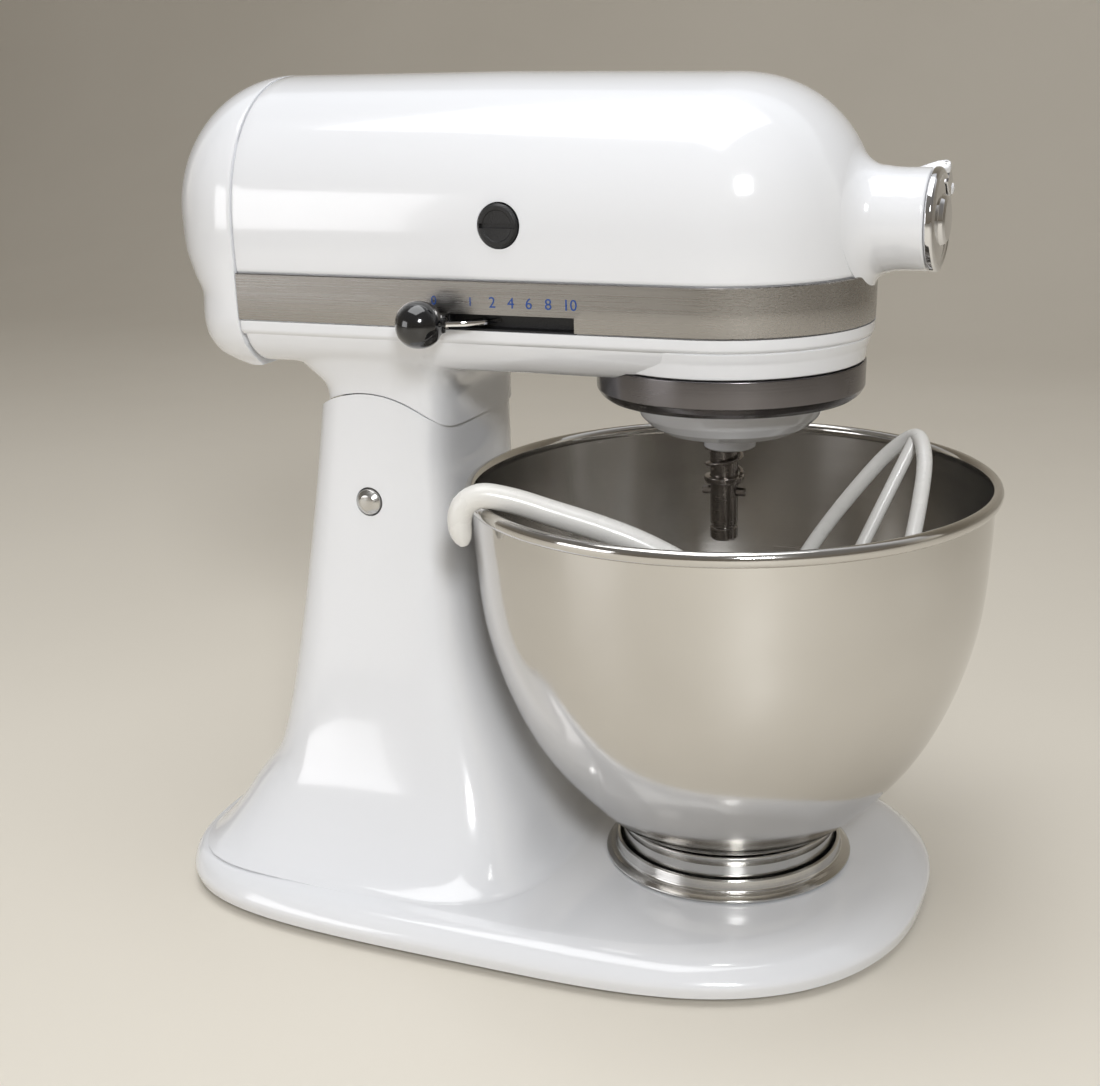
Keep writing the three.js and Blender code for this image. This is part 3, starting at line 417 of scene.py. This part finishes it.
IRON = surface("iron", (0.22, 0.21, 0.20), 0.5, metal=1, grain=(900, 900, 900), bump=0.3,
               streaks=(1500, 12, 12),
               streak_bump=0.3, streak_rough=0.08, spot=40)
BRONZE = surface("bronze", (0.50, 0.33, 0.15), 0.35, metal=1, grain=(900, 900, 900), bump=0.12, spot=45)
COPPER = surface("copper", (0.62, 0.28, 0.15), 0.32, metal=1, grain=(900, 900, 900), bump=0.1, spot=45)
CARBON = surface("carbon", (0.02, 0.02, 0.02), 0.7, grain=(1700, 1700, 1700), bump=0.3, spot=60)
INK = surface("blue_ink", (0.012, 0.06, 0.27), 0.35, grain=(2500, 2500, 2500), bump=0.05,
              tint=(0.02, 0.08, 0.30), spot=90)

KEPT = {
    RUBBER: ["foot_1", "foot_2", "foot_3", "foot_4", "foot_5"],
    STEEL: ["plate_screw_1", "plate_screw_2", "plate_screw_3", "height_screw", "hub_cover_pin",
            "control_plate"],
    IRON: ["stator", "armature_core", "ring_gear"],
    DARK: ["armature_shaft", "worm", "pinion_shaft", "centre_gear", "centre_shaft", "bevel_pinion",
           "hub_gear",
           "planet_pinion", "cross_pin"],
    BRONZE: ["bearing_rear", "bearing_front", "worm_wheel", "hub_bush"],
    COPPER: ["commutator"],
    MATTE: ["fan"],
    CARBON: ["brush_near", "brush_far"],
}
for look, names in KEPT.items():
    for name in names:
        for material_slot in NODES[name].material_slots:
            material_slot.material = look

# ---------------------------------------------------------------- base and column
CASTING = [  # height, front, rear, half width, squareness in front and behind
    [3.5, 86.5, -239, 109, 2.5, 4.5], [8, 87, -240, 110, 2.5, 4.5], [13, 82, -239.5, 107.5, 2.5, 4.5],
    [16.5, 74, -238, 103, 2.5, 4.5], [18, 62, -236, 98, 2.5, 4.5], [18.5, -61, -234, 96, 4, 4],
    [21, -66, -231, 92, 4.4, 3.8], [26, -70.5, -227, 86, 4.8, 3.6], [40, -78, -219, 74, 5.4, 3.2],
    [58, -87, -207, 64, 6, 3], [80, -97, -202, 57, 6.5, 2.8], [110, -107, -196.5, 51, 7, 2.7],
    [150, -113, -190, 46, 7, 2.6], [181, -114.5, -185, 43.5, 7, 2.6], [232, -114.5, -177, 42, 7, 2.6],
]
heights = np.concatenate([np.linspace(3.5, 18, 26), np.linspace(18, 18.5, 22)[1:],
                          np.linspace(18.5, 60, 46)[1:],
                          np.linspace(60, 232, 60)[1:]])
skin = lofted(CASTING, heights)
under = [outline(9, 81.5, -234, 104, 2.5, 4.5), outline(3.5, 81.5, -234, 104, 2.5, 4.5)]
base = raw("base_shell", grid(under + skin))
arc = [(PIN_X + SEAM_R * math.cos(t), PIN_Z + SEAM_R * math.sin(t)) for t in np.linspace(math.pi, 0, 65)]
above = prism([(-300, PIN_Z), *arc, (20, PIN_Z), (20, 270), (-300, 270)], -80, 80)
combine(base, "DIFFERENCE", above, block(-178, -120.5, -27.5, 27.5, 134, 260),
        block(-250, -150, -27.5, 27.5, 165, 260),
        turn([(0, -70), (6.3, -70), (6.3, 70), (0, 70)], 48, (PIN_X, 0, PIN_Z), "y"),
        turn([(0, 16.6), (51.2, 16.6), (51.2, 40), (0, 40)], 160))
piece(base, "stand", ENAMEL, ["base"])

plate = [(30, 16.9), (50.5, 16.9), (50.5, 18.8), (53.9, 18.9), (53.9, 19.9), (52, 21.1), (49.6, 21.7),
         (49.2, 26.7),
         (47.6, 26.7), (48, 20), (46, 18.9), (30, 18.9)]
piece(raw("bowl_plate", turn(rounded(plate, [0, 0.3, 0.3, 0.4, 0.6, 0.8, 1.5, 0.6, 0.5, 1.6, 0.5, 0], 5),
                             160)),
      "stand", STEEL, ["clamp_plate"])

pin = [(0, -46.8), (3.4, -46.3), (5.6, -44.6), (5.8, -42.6), (6, -41.8), (6, 41.8), (5.8, 42.6), (5.6, 44.6),
       (3.4, 46.3), (0, 46.8)]
piece(raw("tilt_pin", turn(rounded(pin, 0.9, 4), 56, (PIN_X, 0, PIN_Z), "y")), "stand", STEEL, ["hinge_pin"],
      40)

path = spline([(-166, 52.7, 158), (-163, 52.9, 166), (-158, 53.1, 176), (-152.4, 53.2, 188)], 18)
arm = sweep(path, [(x * 6.0, y * 1.6) for x, y in circle(1, 28)], (1, 0, 0),
            scale=np.linspace(1.05, 0.72, 18))
axle = turn(rounded([(0, 28), (4.6, 28), (4.6, 51.4), (7, 51.6), (7, 54.2), (5.6, 55), (0, 55)], 0.5), 40,
            (LOCK_X, 0, LOCK_Z), "y")
piece(raw("tilt_lock_lever", joined(arm, axle)), "lock", CHROME, ["lock_lever"])
knob = [(0, 54.8), (4, 54.8), (8.4, 57), (9.4, 61), (8, 66), (4, 68), (0, 68.4)]
piece(raw("tilt_lock_knob", turn(rounded(knob, 2.4, 7), 48, (-152.4, 0, 187), "y")), "lock", GLOSS,
      ["lock_knob"], 50)

# ---------------------------------------------------------------- head
CHIN = [(235, 37), (236, 43), (239, 48.5), (244, 53.5), (249, 56), (249.8, 56.4)]
NECK = [  # rows as in the casting
    [160, -113, -178, 41.4, 7, 2.6], [222, -113, -176, 42, 7, 2.6], [226, -111.5, -178, 42.8, 6, 2.7],
    [231, -107, -184, 44.5, 5, 3], [236, -99, -189, 47, 4.5, 3.2], [241, -88, -192, 50, 4.2, 3.4],
    [247, -74, -194, 54, 4, 4],
]
fine = np.linspace(235, 249.8, 22)
chin = bullet(list(zip(fine, monotone(*zip(*CHIN), fine))), HEAD_REAR + 1, nose=60)
neck = grid(lofted(NECK, np.linspace(160, 247, 60), 120))
lower = soft(combine(raw("head_lower", chin), "UNION", neck), 1.3, 14)
seam = rod(SEAM_R + 0.5, -90, 90, 160, (PIN_X, 0, PIN_Z), "y")
ear = rod(26, -24, 24, 96, (PIN_X, 0, PIN_Z), "y")
combine(lower, "DIFFERENCE", seam, block(-260, -40, -90, 90, 130, PIN_Z + 18), rod(55.6, 200, 239, 128),
        block(0, 90, -90, 90, 200, 249))
drum = rounded([(0, 239.2), (54.4, 239.2), (55.2, 245), (57, 249.6), (0, 249.6)], [0, 0.8, 6, 0.6, 0])
skirt = [(46.9, 231.6), (49.8, 231.6), (49.8, 246), (46.9, 246)]
ledge = bullet([(249.2, 56.0), (249.9, 56.9), (250.6, 57.6), (251.4, 57.8), (254.9, 57.9)], HEAD_REAR + 0.5,
               1.0)
tongue = combine(raw("head_hinge", ear), "UNION", block(-169, -126, -24, 24, 180, 240))
combine(tongue, "DIFFERENCE", rod(PIN_BORE, -70, 70, 48, (PIN_X, 0, PIN_Z), "y"))
piece(tongue, "head", ENAMEL)
piece(lower, "head", ENAMEL, ["lower_case"])
piece(raw("head_drum", joined(turn(drum, 160), turn(skirt, 120))), "head", ENAMEL)
piece(raw("head_ledge", ledge), "head", ENAMEL)


def shell_width(z):
    """Half width of the head's upper shell at a height."""
    u = np.clip((np.asarray(z, float) - SHELL_Z) / SHELL_H, 0, 1)
    return SHELL_W * (1 - u**SHELL_N) ** (1 / SHELL_N)


t = np.linspace(0, math.pi / 2, 58)[1:]
crown = list(zip(SHELL_Z + SHELL_H * np.sin(t) ** (2 / SHELL_N),
                 SHELL_W * np.maximum(np.cos(t), 0) ** (2 / SHELL_N)))
crown[-1] = (crown[-1][0], 0.0)
side = [(254.9, 56.3), (274.9, 56.3), (275.0, 56.9), (275.5, 57.3), (276.6, 57.45), (283, 57.75), (291, 57.9)]
housing = raw("head_upper", bullet(side + crown, HEAD_REAR, 1.4))
socket = rod(HUB_BORE, 26, 90, 64, (0, 0, HUB_Z), "x")
combine(housing, "DIFFERENCE", block(SLOT_X0 - 0.8, SLOT_X1 + 0.8, -62, -50, 250, SLOT_Z1 + 0.7), socket,
        rod(BRUSH_BORE, -70, 70, 64, (BRUSH_X, 0, BRUSH_Z), "y"))
piece(housing, "head", ENAMEL, ["motor_housing"])

FILLET = 8.0
angles = np.linspace(0, TAU, 120, endpoint=False)


def hub_ring(radius, x=None, lift=0.0):
    """A ring about the hub's axis, at one X or lying on the head's nose."""
    y, z = radius * np.cos(angles), HUB_Z + radius * np.sin(angles)
    on = np.sqrt(shell_width(z) ** 2 - y * y) + lift
    return np.stack([on if x is None else np.full_like(y, x), y, z], 1)


collar = [hub_ring(13.4, 40), hub_ring(HUB_R + FILLET, None, -3.0)]
for s in np.linspace(1, 0, 14):
    step = s * math.pi / 2
    collar.append(hub_ring(HUB_R + 0.8 + (FILLET - 0.8) * (1 - math.cos(step)), None,
                           (FILLET - 0.8) * (1 - math.sin(step)) + 0.02))
collar += [hub_ring(r, x) for r, x in [(HUB_R + 0.2, 66), (HUB_R, 70), (HUB_R, 78.6), (HUB_R - 0.2, 79.2),
                                       (HUB_R - 0.8, 79.5),
                                      (14, 79.5), (13.4, 79.2), (13.4, 60)]]
piece(raw("hub_barrel", grid(collar + [collar[0]], ends=False)), "head", ENAMEL, angle=50)


def at_hinge(shape):
    """A shape made above the hub, turned round the hub's axis to the hinge of its cover."""
    points, faces = shape
    y, z = points[:, 1], points[:, 2] - HUB_Z
    turned = np.stack([points[:, 0], (y + z) * math.sqrt(0.5), HUB_Z + (z - y) * math.sqrt(0.5)], 1)
    return turned, faces


for k, s in enumerate((-1, 1)):
    flap = prism([(72, 312), (80.6, 312), (84, 314), (84.2, 316.6), (82.6, 317.8), (79, 317.2), (72, 314)],
                 *sorted((s * 4.4, s * 8)))
    piece(bevelled(raw(f"hub_hinge_ear_{k + 1}", at_hinge(flap)), 0.6), "head", ENAMEL)

# end cover: a dome behind the motor that runs down into a square chin
REACH = [(233, 17), (234, 22), (236, 28), (239, 32), (247, 35.5), (255, 36.6), (263.5, 37), (272, 42.5),
         (284, 48), (298, 49.5)]
CHIN_HALF = [(233, 42), (235, 44), (239, 49), (247, 55), (255, 57.0), (263.5, 57.2), (272, 57.4), (284, 57.8),
             (291, 57.9)]
SQUARE = [(233, 2.6), (239, 2.5), (255, 2.3), (263.5, 2.2), (284, 2.05), (298, 2.0)]


def cover_ring(z, half, seg=90):
    """One level of the end cover: flat on the seam, rounded behind."""
    if z < COVER_Z:
        reach = float(monotone(*zip(*REACH), z))
    else:
        reach = COVER_REACH * max(1 - min((z - COVER_Z) / COVER_H, 1) ** COVER_N, 0) ** (1 / COVER_N)
    n = float(np.interp(z, *zip(*SQUARE)))
    a = np.linspace(-math.pi / 2, math.pi / 2, seg)
    c, q = np.cos(a), np.sin(a)
    r = (np.abs(c) ** n + np.abs(q) ** n) ** (-1 / n)
    lip = min(0.8, 0.3 * reach)
    x, y = HEAD_REAR - 0.5 - lip - (reach - lip) * r * c, half * r * q
    edge_in = min(0.7, 0.3 * half)
    first = [(HEAD_REAR - 0.5, -half + edge_in), (HEAD_REAR - 0.5 - 0.3 * lip, -half + 0.25 * edge_in)]
    ring = first + list(zip(x, y)) + [(u, -v) for u, v in reversed(first)]
    return [(u, v, z) for u, v in ring]


low_levels = np.concatenate([np.linspace(233, 239, 12), np.linspace(239, 263.5, 16)[1:],
                             np.linspace(263.5, 290, 18)[1:]])
cover = [cover_ring(z, float(monotone(*zip(*CHIN_HALF), z))) for z in low_levels]
for a in np.linspace(0, math.pi / 2, 50)[:-1]:
    level = SHELL_Z + SHELL_H * math.sin(a) ** (2 / SHELL_N)
    risen = level + CROWN_RISE * max(0, (level - CROWN_Z) / (SHELL_TOP - CROWN_Z))
    cover.append(cover_ring(risen, SHELL_W * math.cos(a) ** (2 / SHELL_N)))
piece(raw("head_end_cover", grid(cover)), "head", ENAMEL, ["end_cover"], 28)
screw = rounded([(0, -236), (4.2, -235.8), (5, -234.4), (2.3, -233.8), (2.3, -200), (0, -200)], 0.5)
piece(combine(raw("end_cover_screw", turn(screw, 40, (0, 0, SCREW_Z), "x")), "DIFFERENCE",
              block(-237, -235.2, -6, 6, SCREW_Z - 0.5, SCREW_Z + 0.5)),
      "head", STEEL, ["cover_screw"])
gland = [(3.2, -238), (5.4, -238), (7.6, -234.4), (7.6, -233.2), (5.9, -232.6), (5.9, -222), (3.2, -222)]
piece(raw("cord_bush", turn(rounded(gland, [0, 0.8, 0.8, 0.4, 0.3, 0, 0]), 48, (0, 26, SCREW_Z), "x")),
      "head", MATTE,
      ["cord_gland"])

# band, digits, slot
outer = bullet([(255.4, 57.75), (255.8, 58.0), (265, 58.15), (274.2, 58.3), (274.6, 58.05)], HEAD_REAR + 0.5)
band = raw("trim_band", outer)
combine(band, "DIFFERENCE", bullet([(250, 56.9), (280, 56.9)], -240),
        block(SLOT_X0 - 0.4, SLOT_X1 + 0.4, -70, -40, 250, SLOT_Z1 + 0.2))
piece(band, "head", BAND, ["trim_band"])
# painted shade: a matte black box inside the speed-lever slot makes the recess dark where the solid head
# would show white walls
slot_shade_box = raw("slot_painted_shade", block(SLOT_X0 - 0.6, SLOT_X1 + 0.6, -56.6, -50.4, SLOT_Z0 - 1, SLOT_Z1 + 0.6))
combine(slot_shade_box, "DIFFERENCE", block(SLOT_X0, SLOT_X1, -60, -51.2, SLOT_Z0, SLOT_Z1))
piece(bevelled(slot_shade_box, 0.15, 1), "head", MATTE)
DIGITS = [("0", -104.5, 3.6), ("1", -88.5, 3.6), ("2", -79, 4.4), ("4", -71, 4.4), ("6", -63.4, 4.4),
          ("8", -55.2, 4.4), ("10", -46.2, 4.4)]
for text, x, size in DIGITS:
    curve = bpy.data.curves.new("speed_" + text, "FONT")
    curve.body, curve.size, curve.extrude, curve.align_x = text, size * 1.38 * MM, 0.03 * MM, "CENTER"
    o = bpy.data.objects.new("speed_" + text, curve)
    bpy.context.scene.collection.objects.link(o)
    o.location = Vector((np.array([x, -58.27, 266.6 - size / 2]) - ORIGIN) * MM)
    o.rotation_euler = (math.pi / 2, 0, 0)
    curve.materials.append(INK)
    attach(o, "head")

ring = [(41.5, 223.6), (50.6, 223.6), (53, 225.4), (54.6, 228), (54.8, 238.6), (50.2, 238.6), (50.2, 237.6),
        (53.4, 237.6),
        (53.4, 228.3), (52, 226.3), (50, 224.7), (41.5, 224.7)]
piece(raw("drip_ring", turn(rounded(ring, [0, 1.2, 1.6, 1.4, 0.5, 0, 0, 0, 1, 1, 1, 0], 7), 176)), "head",
      SATIN, ["drip_ring"])
for side_name, s in (("near", -1), ("far", 1)):
    cap = rounded([(0, 45), (6.8, 45), (6.8, 56.8), (8.5, 56.8), (8.5, 58.4), (7.6, 59.2), (6.2, 59.2),
                   (5.9, 58.8), (0, 58.8)], 0.25)
    cap = turn([(r, s * h) for r, h in cap], 64, (BRUSH_X, 0, BRUSH_Z), "y")
    cap = combine(raw("brush_cap_" + side_name, cap), "DIFFERENCE",
                  block(BRUSH_X - 7.5, BRUSH_X + 7.5, *sorted((s * SHELL_W, s * 62)), BRUSH_Z - 0.9,
                        BRUSH_Z + 0.9))
    piece(cap, "head", MATTE, ["brush_cap_" + side_name])

cover = [(0, 79.9), (19.2, 79.9), (19.8, 80.5), (19.8, 82.2), (19.2, 83.0), (17.4, 83.6), (16.6, 83.1),
         (15.4, 82.9), (9.8, 83.4),
         (9, 85.0), (7.6, 85.7), (0, 85.8)]
piece(raw("hub_cover", joined(turn(rounded(cover, 0.5, 5), 112, (0, 0, HUB_Z), "x"),
                              at_hinge(block(80.6, 83.6, -4, 4, HUB_Z + 15, HUB_Z + 22.4)))), "cover", CHROME,
      ["hub_cover"])
knob = [(0, 13), (3.9, 13), (3.9, 20.6), (6, 21), (8.6, 23), (9.4, 27), (9.4, 33), (8, 35.6), (0, 36.4)]
piece(raw("attachment_knob", turn(rounded(knob, 1.6, 6), 56, (KNOB_X, 0, HUB_Z), "y")), "knob", GLOSS,
      ["attachment_knob"], 50)

# speed control
path = spline([(-74, -16, 258.5), (-76.5, -26, 258.5), (-79.5, -44, 258.5), (-87.5, -60, 258.5),
               (-93, -63.6, 258.5), (-99, -66.5, 258.5)], 40)
strip = sweep(path, [(-0.9, -1), (0.9, -1), (0.9, 1), (-0.9, 1)], (0, 0, 1))
width = np.interp(np.linspace(0, 1, 40), [0, 0.45, 0.8, 1], [5.4, 3.4, 3.0, 2.2])
points = strip[0].reshape(-1, 3)
for k, p in enumerate(path):
    ring = points[4 * k:4 * k + 4]
    middle = ring.mean(0)
    ring[:, :2] = middle[:2] + (ring[:, :2] - middle[:2]) * width[k]
boss = turn(rounded([(0, 257.4), (8, 257.4), (8, 259.6), (0, 259.6)], 0.3), 48, (-72, -16, 0))
piece(bevelled(raw("speed_lever", joined(strip, boss)), 0.3), "speed", CHROME, ["speed_lever"])
knob = spline([(r, 0, h) for r, h in [(3.6, 0), (4.2, 1.4), (6.8, 3.3), (8.9, 7), (9.4, 10.6), (8.4, 14.8),
                                      (5.4, 18.2), (2.4, 19.4), (0, 19.6)]], 44)
points, faces = turn([(0, 0), *knob[:, [0, 2]]], 72)
spin = Vector((0, 0, 1)).rotation_difference(Vector((-11, -6.2, 0)).normalized()).to_matrix()
points = points @ np.array(spin).T + np.array([-96.5, -65, 258.5])
piece(raw("speed_knob", (points, faces)), "speed", GLOSS, ["speed_knob"], 60)

# ---------------------------------------------------------------- planetary and beater shaft
hub = [(0, 201), (9.8, 201), (10.8, 201.8), (10.8, 206.6), (22, 207.4), (28, 209), (33, 211.8), (36.8, 215.6),
       (38.6, 220),
       (39, 222), (39.2, 225.6), (46, 227.4), (46, 230.5), (9, 231.4), (8, 243), (0, 243)]
radii = [0, 0.6, 0.5, 1.2, 4, 4, 4, 4, 3, 2, 1, 1, 1, 1, 1, 0]
piece(combine(raw("planetary", turn(rounded(hub, radii, 8), 144)), "DIFFERENCE",
              rod(SHAFT_BORE, 180, 260, 48, (SHAFT_X, SHAFT_Y, 0))),
      "carrier", ENAMEL, ["planetary"])
shaft = rounded([(0, SHAFT_Z), (5.2, SHAFT_Z), (6, SHAFT_Z + 1), (6, 159.4), (5.3, 159.8), (5.3, 160.8),
                 (6, 161.2), (6, 242.8), (0, 242.8)], 0.25)
shaft = combine(raw("beater_shaft", turn(shaft, 56, (SHAFT_X, SHAFT_Y, 0))), "DIFFERENCE",
                rod(2.2, -20, 20, 24, (SHAFT_X, SHAFT_Y, 175.4), "x"))
piece(shaft, "beater_drive", DARK, ["beater_shaft"])
COIL_R, COIL_Z, COIL_H, COIL_STEPS, PER_TURN = 7.6, 183.6, 21.4, 120, 40
coil = [(SHAFT_X + COIL_R * math.cos(TAU * i / PER_TURN), SHAFT_Y + COIL_R * math.sin(TAU * i / PER_TURN),
         COIL_Z + COIL_H * i / COIL_STEPS) for i in range(COIL_STEPS + 1)]
piece(raw("shaft_spring", sweep(coil, circle(0.8, 12))), "beater_drive", DARK, ["spring"])
ring = [(6.3, 179.8), (7.8, 179.4), (8.6, 180.6), (8.6, 182.4), (6.3, 182.6)]
piece(raw("shaft_washer", turn(rounded(ring, [0, 0.5, 0.4, 0.4, 0]), 56, (SHAFT_X, SHAFT_Y, 0))),
      "beater_drive", DARK, ["washer"])

# ---------------------------------------------------------------- bowl
BOWL = [[20, 33.4], [35, 34.4], [44, 36.4], [52.6, 40.6], [67.6, 55], [83.2, 75], [95.4, 100], [104, 130],
        [107.3, 165], [107.9, 184]]
profile = spline([(r, 0, z) for r, z in [[0, 33.2], *BOWL]], 84)[:, [0, 2]]
profile[0, 0] = 0
slope = np.gradient(profile, axis=0)
slope /= np.linalg.norm(slope, axis=1)[:, None]
inner = profile + 1.1 * np.stack([-slope[:, 1], slope[:, 0]], 1)
inner[0, 0] = 0
bead = [(108.6 + 2.4 * math.cos(a), 185.3 + 3.0 * math.sin(a))
        for a in np.linspace(-1.9, -1.9 + TAU, 20, endpoint=False)]
bowl = raw("bowl_body", turn([*profile, *inner[::-1]], 192))
bowl.data.materials.append(POLISHED)
bowl.data.materials.append(BRUSHED)
axis = Vector(-ORIGIN * MM)
for f in bowl.data.polygons:
    out = f.center - axis
    f.material_index = int(f.normal.x * out.x + f.normal.y * out.y - 0.6 * f.normal.z < 0)
piece(bowl, "bowl", POLISHED, ["bowl"])
piece(raw("bowl_rim", turn([*bead], 192)), "bowl", POLISHED, angle=60)
foot = [(44.2, 21.8), (45.8, 21.8), (46.4, 22.6), (46.4, 32), (48.4, 36.4), (47.6, 36.8), (44.2, 35.4)]
piece(raw("bowl_foot", turn(rounded(foot, [0, 0.3, 0.4, 1.5, 0.5, 0.4, 0]), 160)), "bowl", STEEL,
      ["bowl_foot"])

HANDLE_TURN = 0.36 * math.pi
path = spline([(r * math.cos(HANDLE_TURN), r * math.sin(HANDLE_TURN), z) for r, z in
               [(108.0, 176), (116, 177), (131, 172), (138, 158), (138, 130), (132, 112), (118, 97),
                (99.4, 99)]], 60)
flat = outline(0, 1, -1, 1, 5, 5, 40)[:, :2]
grip = sweep(path, [(1.5 * u, 12.5 * v) for u, v in flat], (math.cos(HANDLE_TURN), math.sin(HANDLE_TURN), 1))
piece(raw("bowl_handle", grip), "bowl", DARK, ["bowl_handle"], 50)

# ---------------------------------------------------------------- tools lying in the bowl
hook = [(-84.4, -80.6, 173.5), (-85.6, -81.6, 183), (-83.4, -81.4, 190.2), (-77.5, -79.4, 193.8),
        (-68, -75.5, 192.3),
        (-52.6, -70, 187.0), (-14.7, -60, 173.2), (20, -50, 150), (44, -43, 118), (52, -41, 90)]
path = spline(hook, 110)
taper = np.interp(np.linspace(0, 1, 110), [0, 0.012, 0.03, 0.06, 0.3, 1], [0.35, 0.75, 0.93, 1.0, 1.08, 0.95])
parts = joined(sweep(path, circle(4.9, 28), (0, 1, 0.2), taper),
               sweep(spline([(50, -41.8, 98), (53, -40.6, 84), (54.4, -40, 74)], 12), circle(8, 32),
                     (0, 1, 0)))
piece(raw("dough_hook", parts), "bowl", COATING, ["dough_hook"], 50)

up = np.array([0.33, 0.42, 0.845])
up /= np.linalg.norm(up)
across = np.array([0.62, -0.78, 0.0])
across -= up * (across @ up)
across /= np.linalg.norm(across)
foot_point = np.array([66, 58, 197.0]) - 158 * up


def on_beater(pairs):
    return [foot_point + q * up + p * across for q, p in pairs]


loop = on_beater([(38, 0), (46, 30), (66, 43), (96, 40), (128, 27), (150, 13), (158, 0), (150, -13),
                  (128, -27), (96, -40), (66, -43), (46, -30), (38, 0)])
frame_path = spline(loop, 121)[:-1]
strut, bar = spline(on_beater([(36, 0), (90, 0), (157, 0)]),
                    30), spline(on_beater([(74, -42), (86, 0), (112, 34)]), 36)
stem = spline(on_beater([(6, 0), (22, 0), (44, 0)]), 10)
normal = np.cross(up, across)
parts = joined(sweep(frame_path, circle(3.3, 24), normal, loop=True), sweep(strut, circle(2.8, 24), normal),
               sweep(bar, circle(2.8, 24), normal), sweep(stem, circle(8, 32), normal))
piece(raw("flat_beater", parts), "bowl", COATING, ["flat_beater"], 50)

# ---------------------------------------------------------------- floor, light, camera
# the floor runs up into a wall behind the mixer, in metres
FLOOR_FRONT, BEND_Y, BEND_R, WALL_TOP, FLOOR_HALF = -4.0, 1.3, 1.0, 4.0, 6
bend = [(BEND_Y + BEND_R * math.sin(a), BEND_R * (1 - math.cos(a)))
        for a in np.linspace(0.08, math.pi / 2, 20)]
sweep_line = [(FLOOR_FRONT, 0.0), (BEND_Y, 0.0), *bend, (BEND_Y + BEND_R, WALL_TOP)]
floor = bpy.data.meshes.new("floor")
floor.from_pydata([(x, y, z) for y, z in sweep_line for x in (-FLOOR_HALF, FLOOR_HALF)], [],
                  [(2 * i, 2 * i + 1, 2 * i + 3, 2 * i + 2) for i in range(len(sweep_line) - 1)])
floor.polygons.foreach_set("use_smooth", [True] * len(floor.polygons))
floor = bpy.data.objects.new("floor", floor)
bpy.context.scene.collection.objects.link(floor)
floor.data.materials.append(surface("floor", (0.78, 0.735, 0.65), 0.5, grain=(90, 90, 90),
                                    tint=(0.74, 0.695, 0.61), bump=0.02, spot=2))

world = bpy.data.worlds.new("studio")
bpy.context.scene.world = world
world.use_nodes = True
nodes, link = world.node_tree.nodes, world.node_tree.links.new
where, split = nodes.new("ShaderNodeTexCoord"), nodes.new("ShaderNodeSeparateXYZ")
link(where.outputs["Generated"], split.inputs["Vector"])


def ramp(source, stops):
    node = nodes.new("ShaderNodeValToRGB")
    link(source, node.inputs["Fac"])
    for k, (at, colour) in enumerate(stops):
        element = node.color_ramp.elements[k] if k < 2 else node.color_ramp.elements.new(at)
        element.position, element.color = at, (*colour, 1)
    return node.outputs["Color"]


sky = ramp(split.outputs["Z"], [(0.0, (0.66, 0.61, 0.52)), (0.15, (0.76, 0.72, 0.64)),
                                (0.5, (0.72, 0.72, 0.71)), (1.0, (0.86, 0.88, 0.92))])
# the studio is darker towards -Y, which gives the metal its dark bands
room = ramp(split.outputs["Y"], [(0.0, (0.30, 0.28, 0.26)), (0.35, (1.0, 1.0, 1.0))])
blend = nodes.new("ShaderNodeMix")
blend.data_type, blend.blend_type = "RGBA", "MULTIPLY"
blend.inputs["Factor"].default_value = 1.0
link(sky, blend.inputs["A"])
link(room, blend.inputs["B"])
link(blend.outputs["Result"], nodes["Background"].inputs["Color"])
nodes["Background"].inputs["Strength"].default_value = 0.85


def area(name, where, target, size, power, colour=(1, 1, 1)):
    lamp = bpy.data.lights.new(name, "AREA")
    lamp.shape, lamp.size, lamp.size_y, lamp.energy, lamp.color = "RECTANGLE", size[0], size[1], power, colour
    o = bpy.data.objects.new(name, lamp)
    bpy.context.scene.collection.objects.link(o)
    o.location = where
    o.rotation_mode = "QUATERNION"
    o.rotation_quaternion = (Vector(target) - Vector(where)).to_track_quat("-Z", "Y")


area("key", (0.75, -1.35, 1.05), (0, 0, 0.2), (0.30, 0.30), 15, (0.97, 0.985, 1))
area("top", (-0.1, -0.2, 1.7), (0, 0, 0.2), (1.2, 1.2), 14, (0.98, 0.99, 1))
area("fill", (-1.3, -1.5, 0.5), (0, 0, 0.2), (0.9, 0.7), 6, (0.98, 0.98, 1))

lens = bpy.data.cameras.new("camera")
lens.sensor_fit, lens.sensor_width, lens.lens = "HORIZONTAL", 36, 53.864
lens.shift_x, lens.shift_y = -0.01145, 0.0043
lens.clip_start, lens.clip_end = 0.05, 30
camera = bpy.data.objects.new("camera", lens)
bpy.context.scene.collection.objects.link(camera)
yaw, pitch, roll = math.radians(23.11), math.radians(16.79), math.radians(1.45)
ahead = Vector((-math.sin(yaw) * math.cos(pitch), math.cos(yaw) * math.cos(pitch), -math.sin(pitch)))
right = Vector((math.cos(yaw), math.sin(yaw), 0))
top = right.cross(ahead)
right, top = math.cos(roll) * right - math.sin(roll) * top, math.sin(roll) * right + math.cos(roll) * top
camera.matrix_world = Matrix((right, top, -ahead)).transposed().to_4x4()
camera.location = (0.26436, -0.64955, 0.35969)
bpy.context.scene.camera = camera
bpy.context.scene.view_settings.view_transform = "Standard"
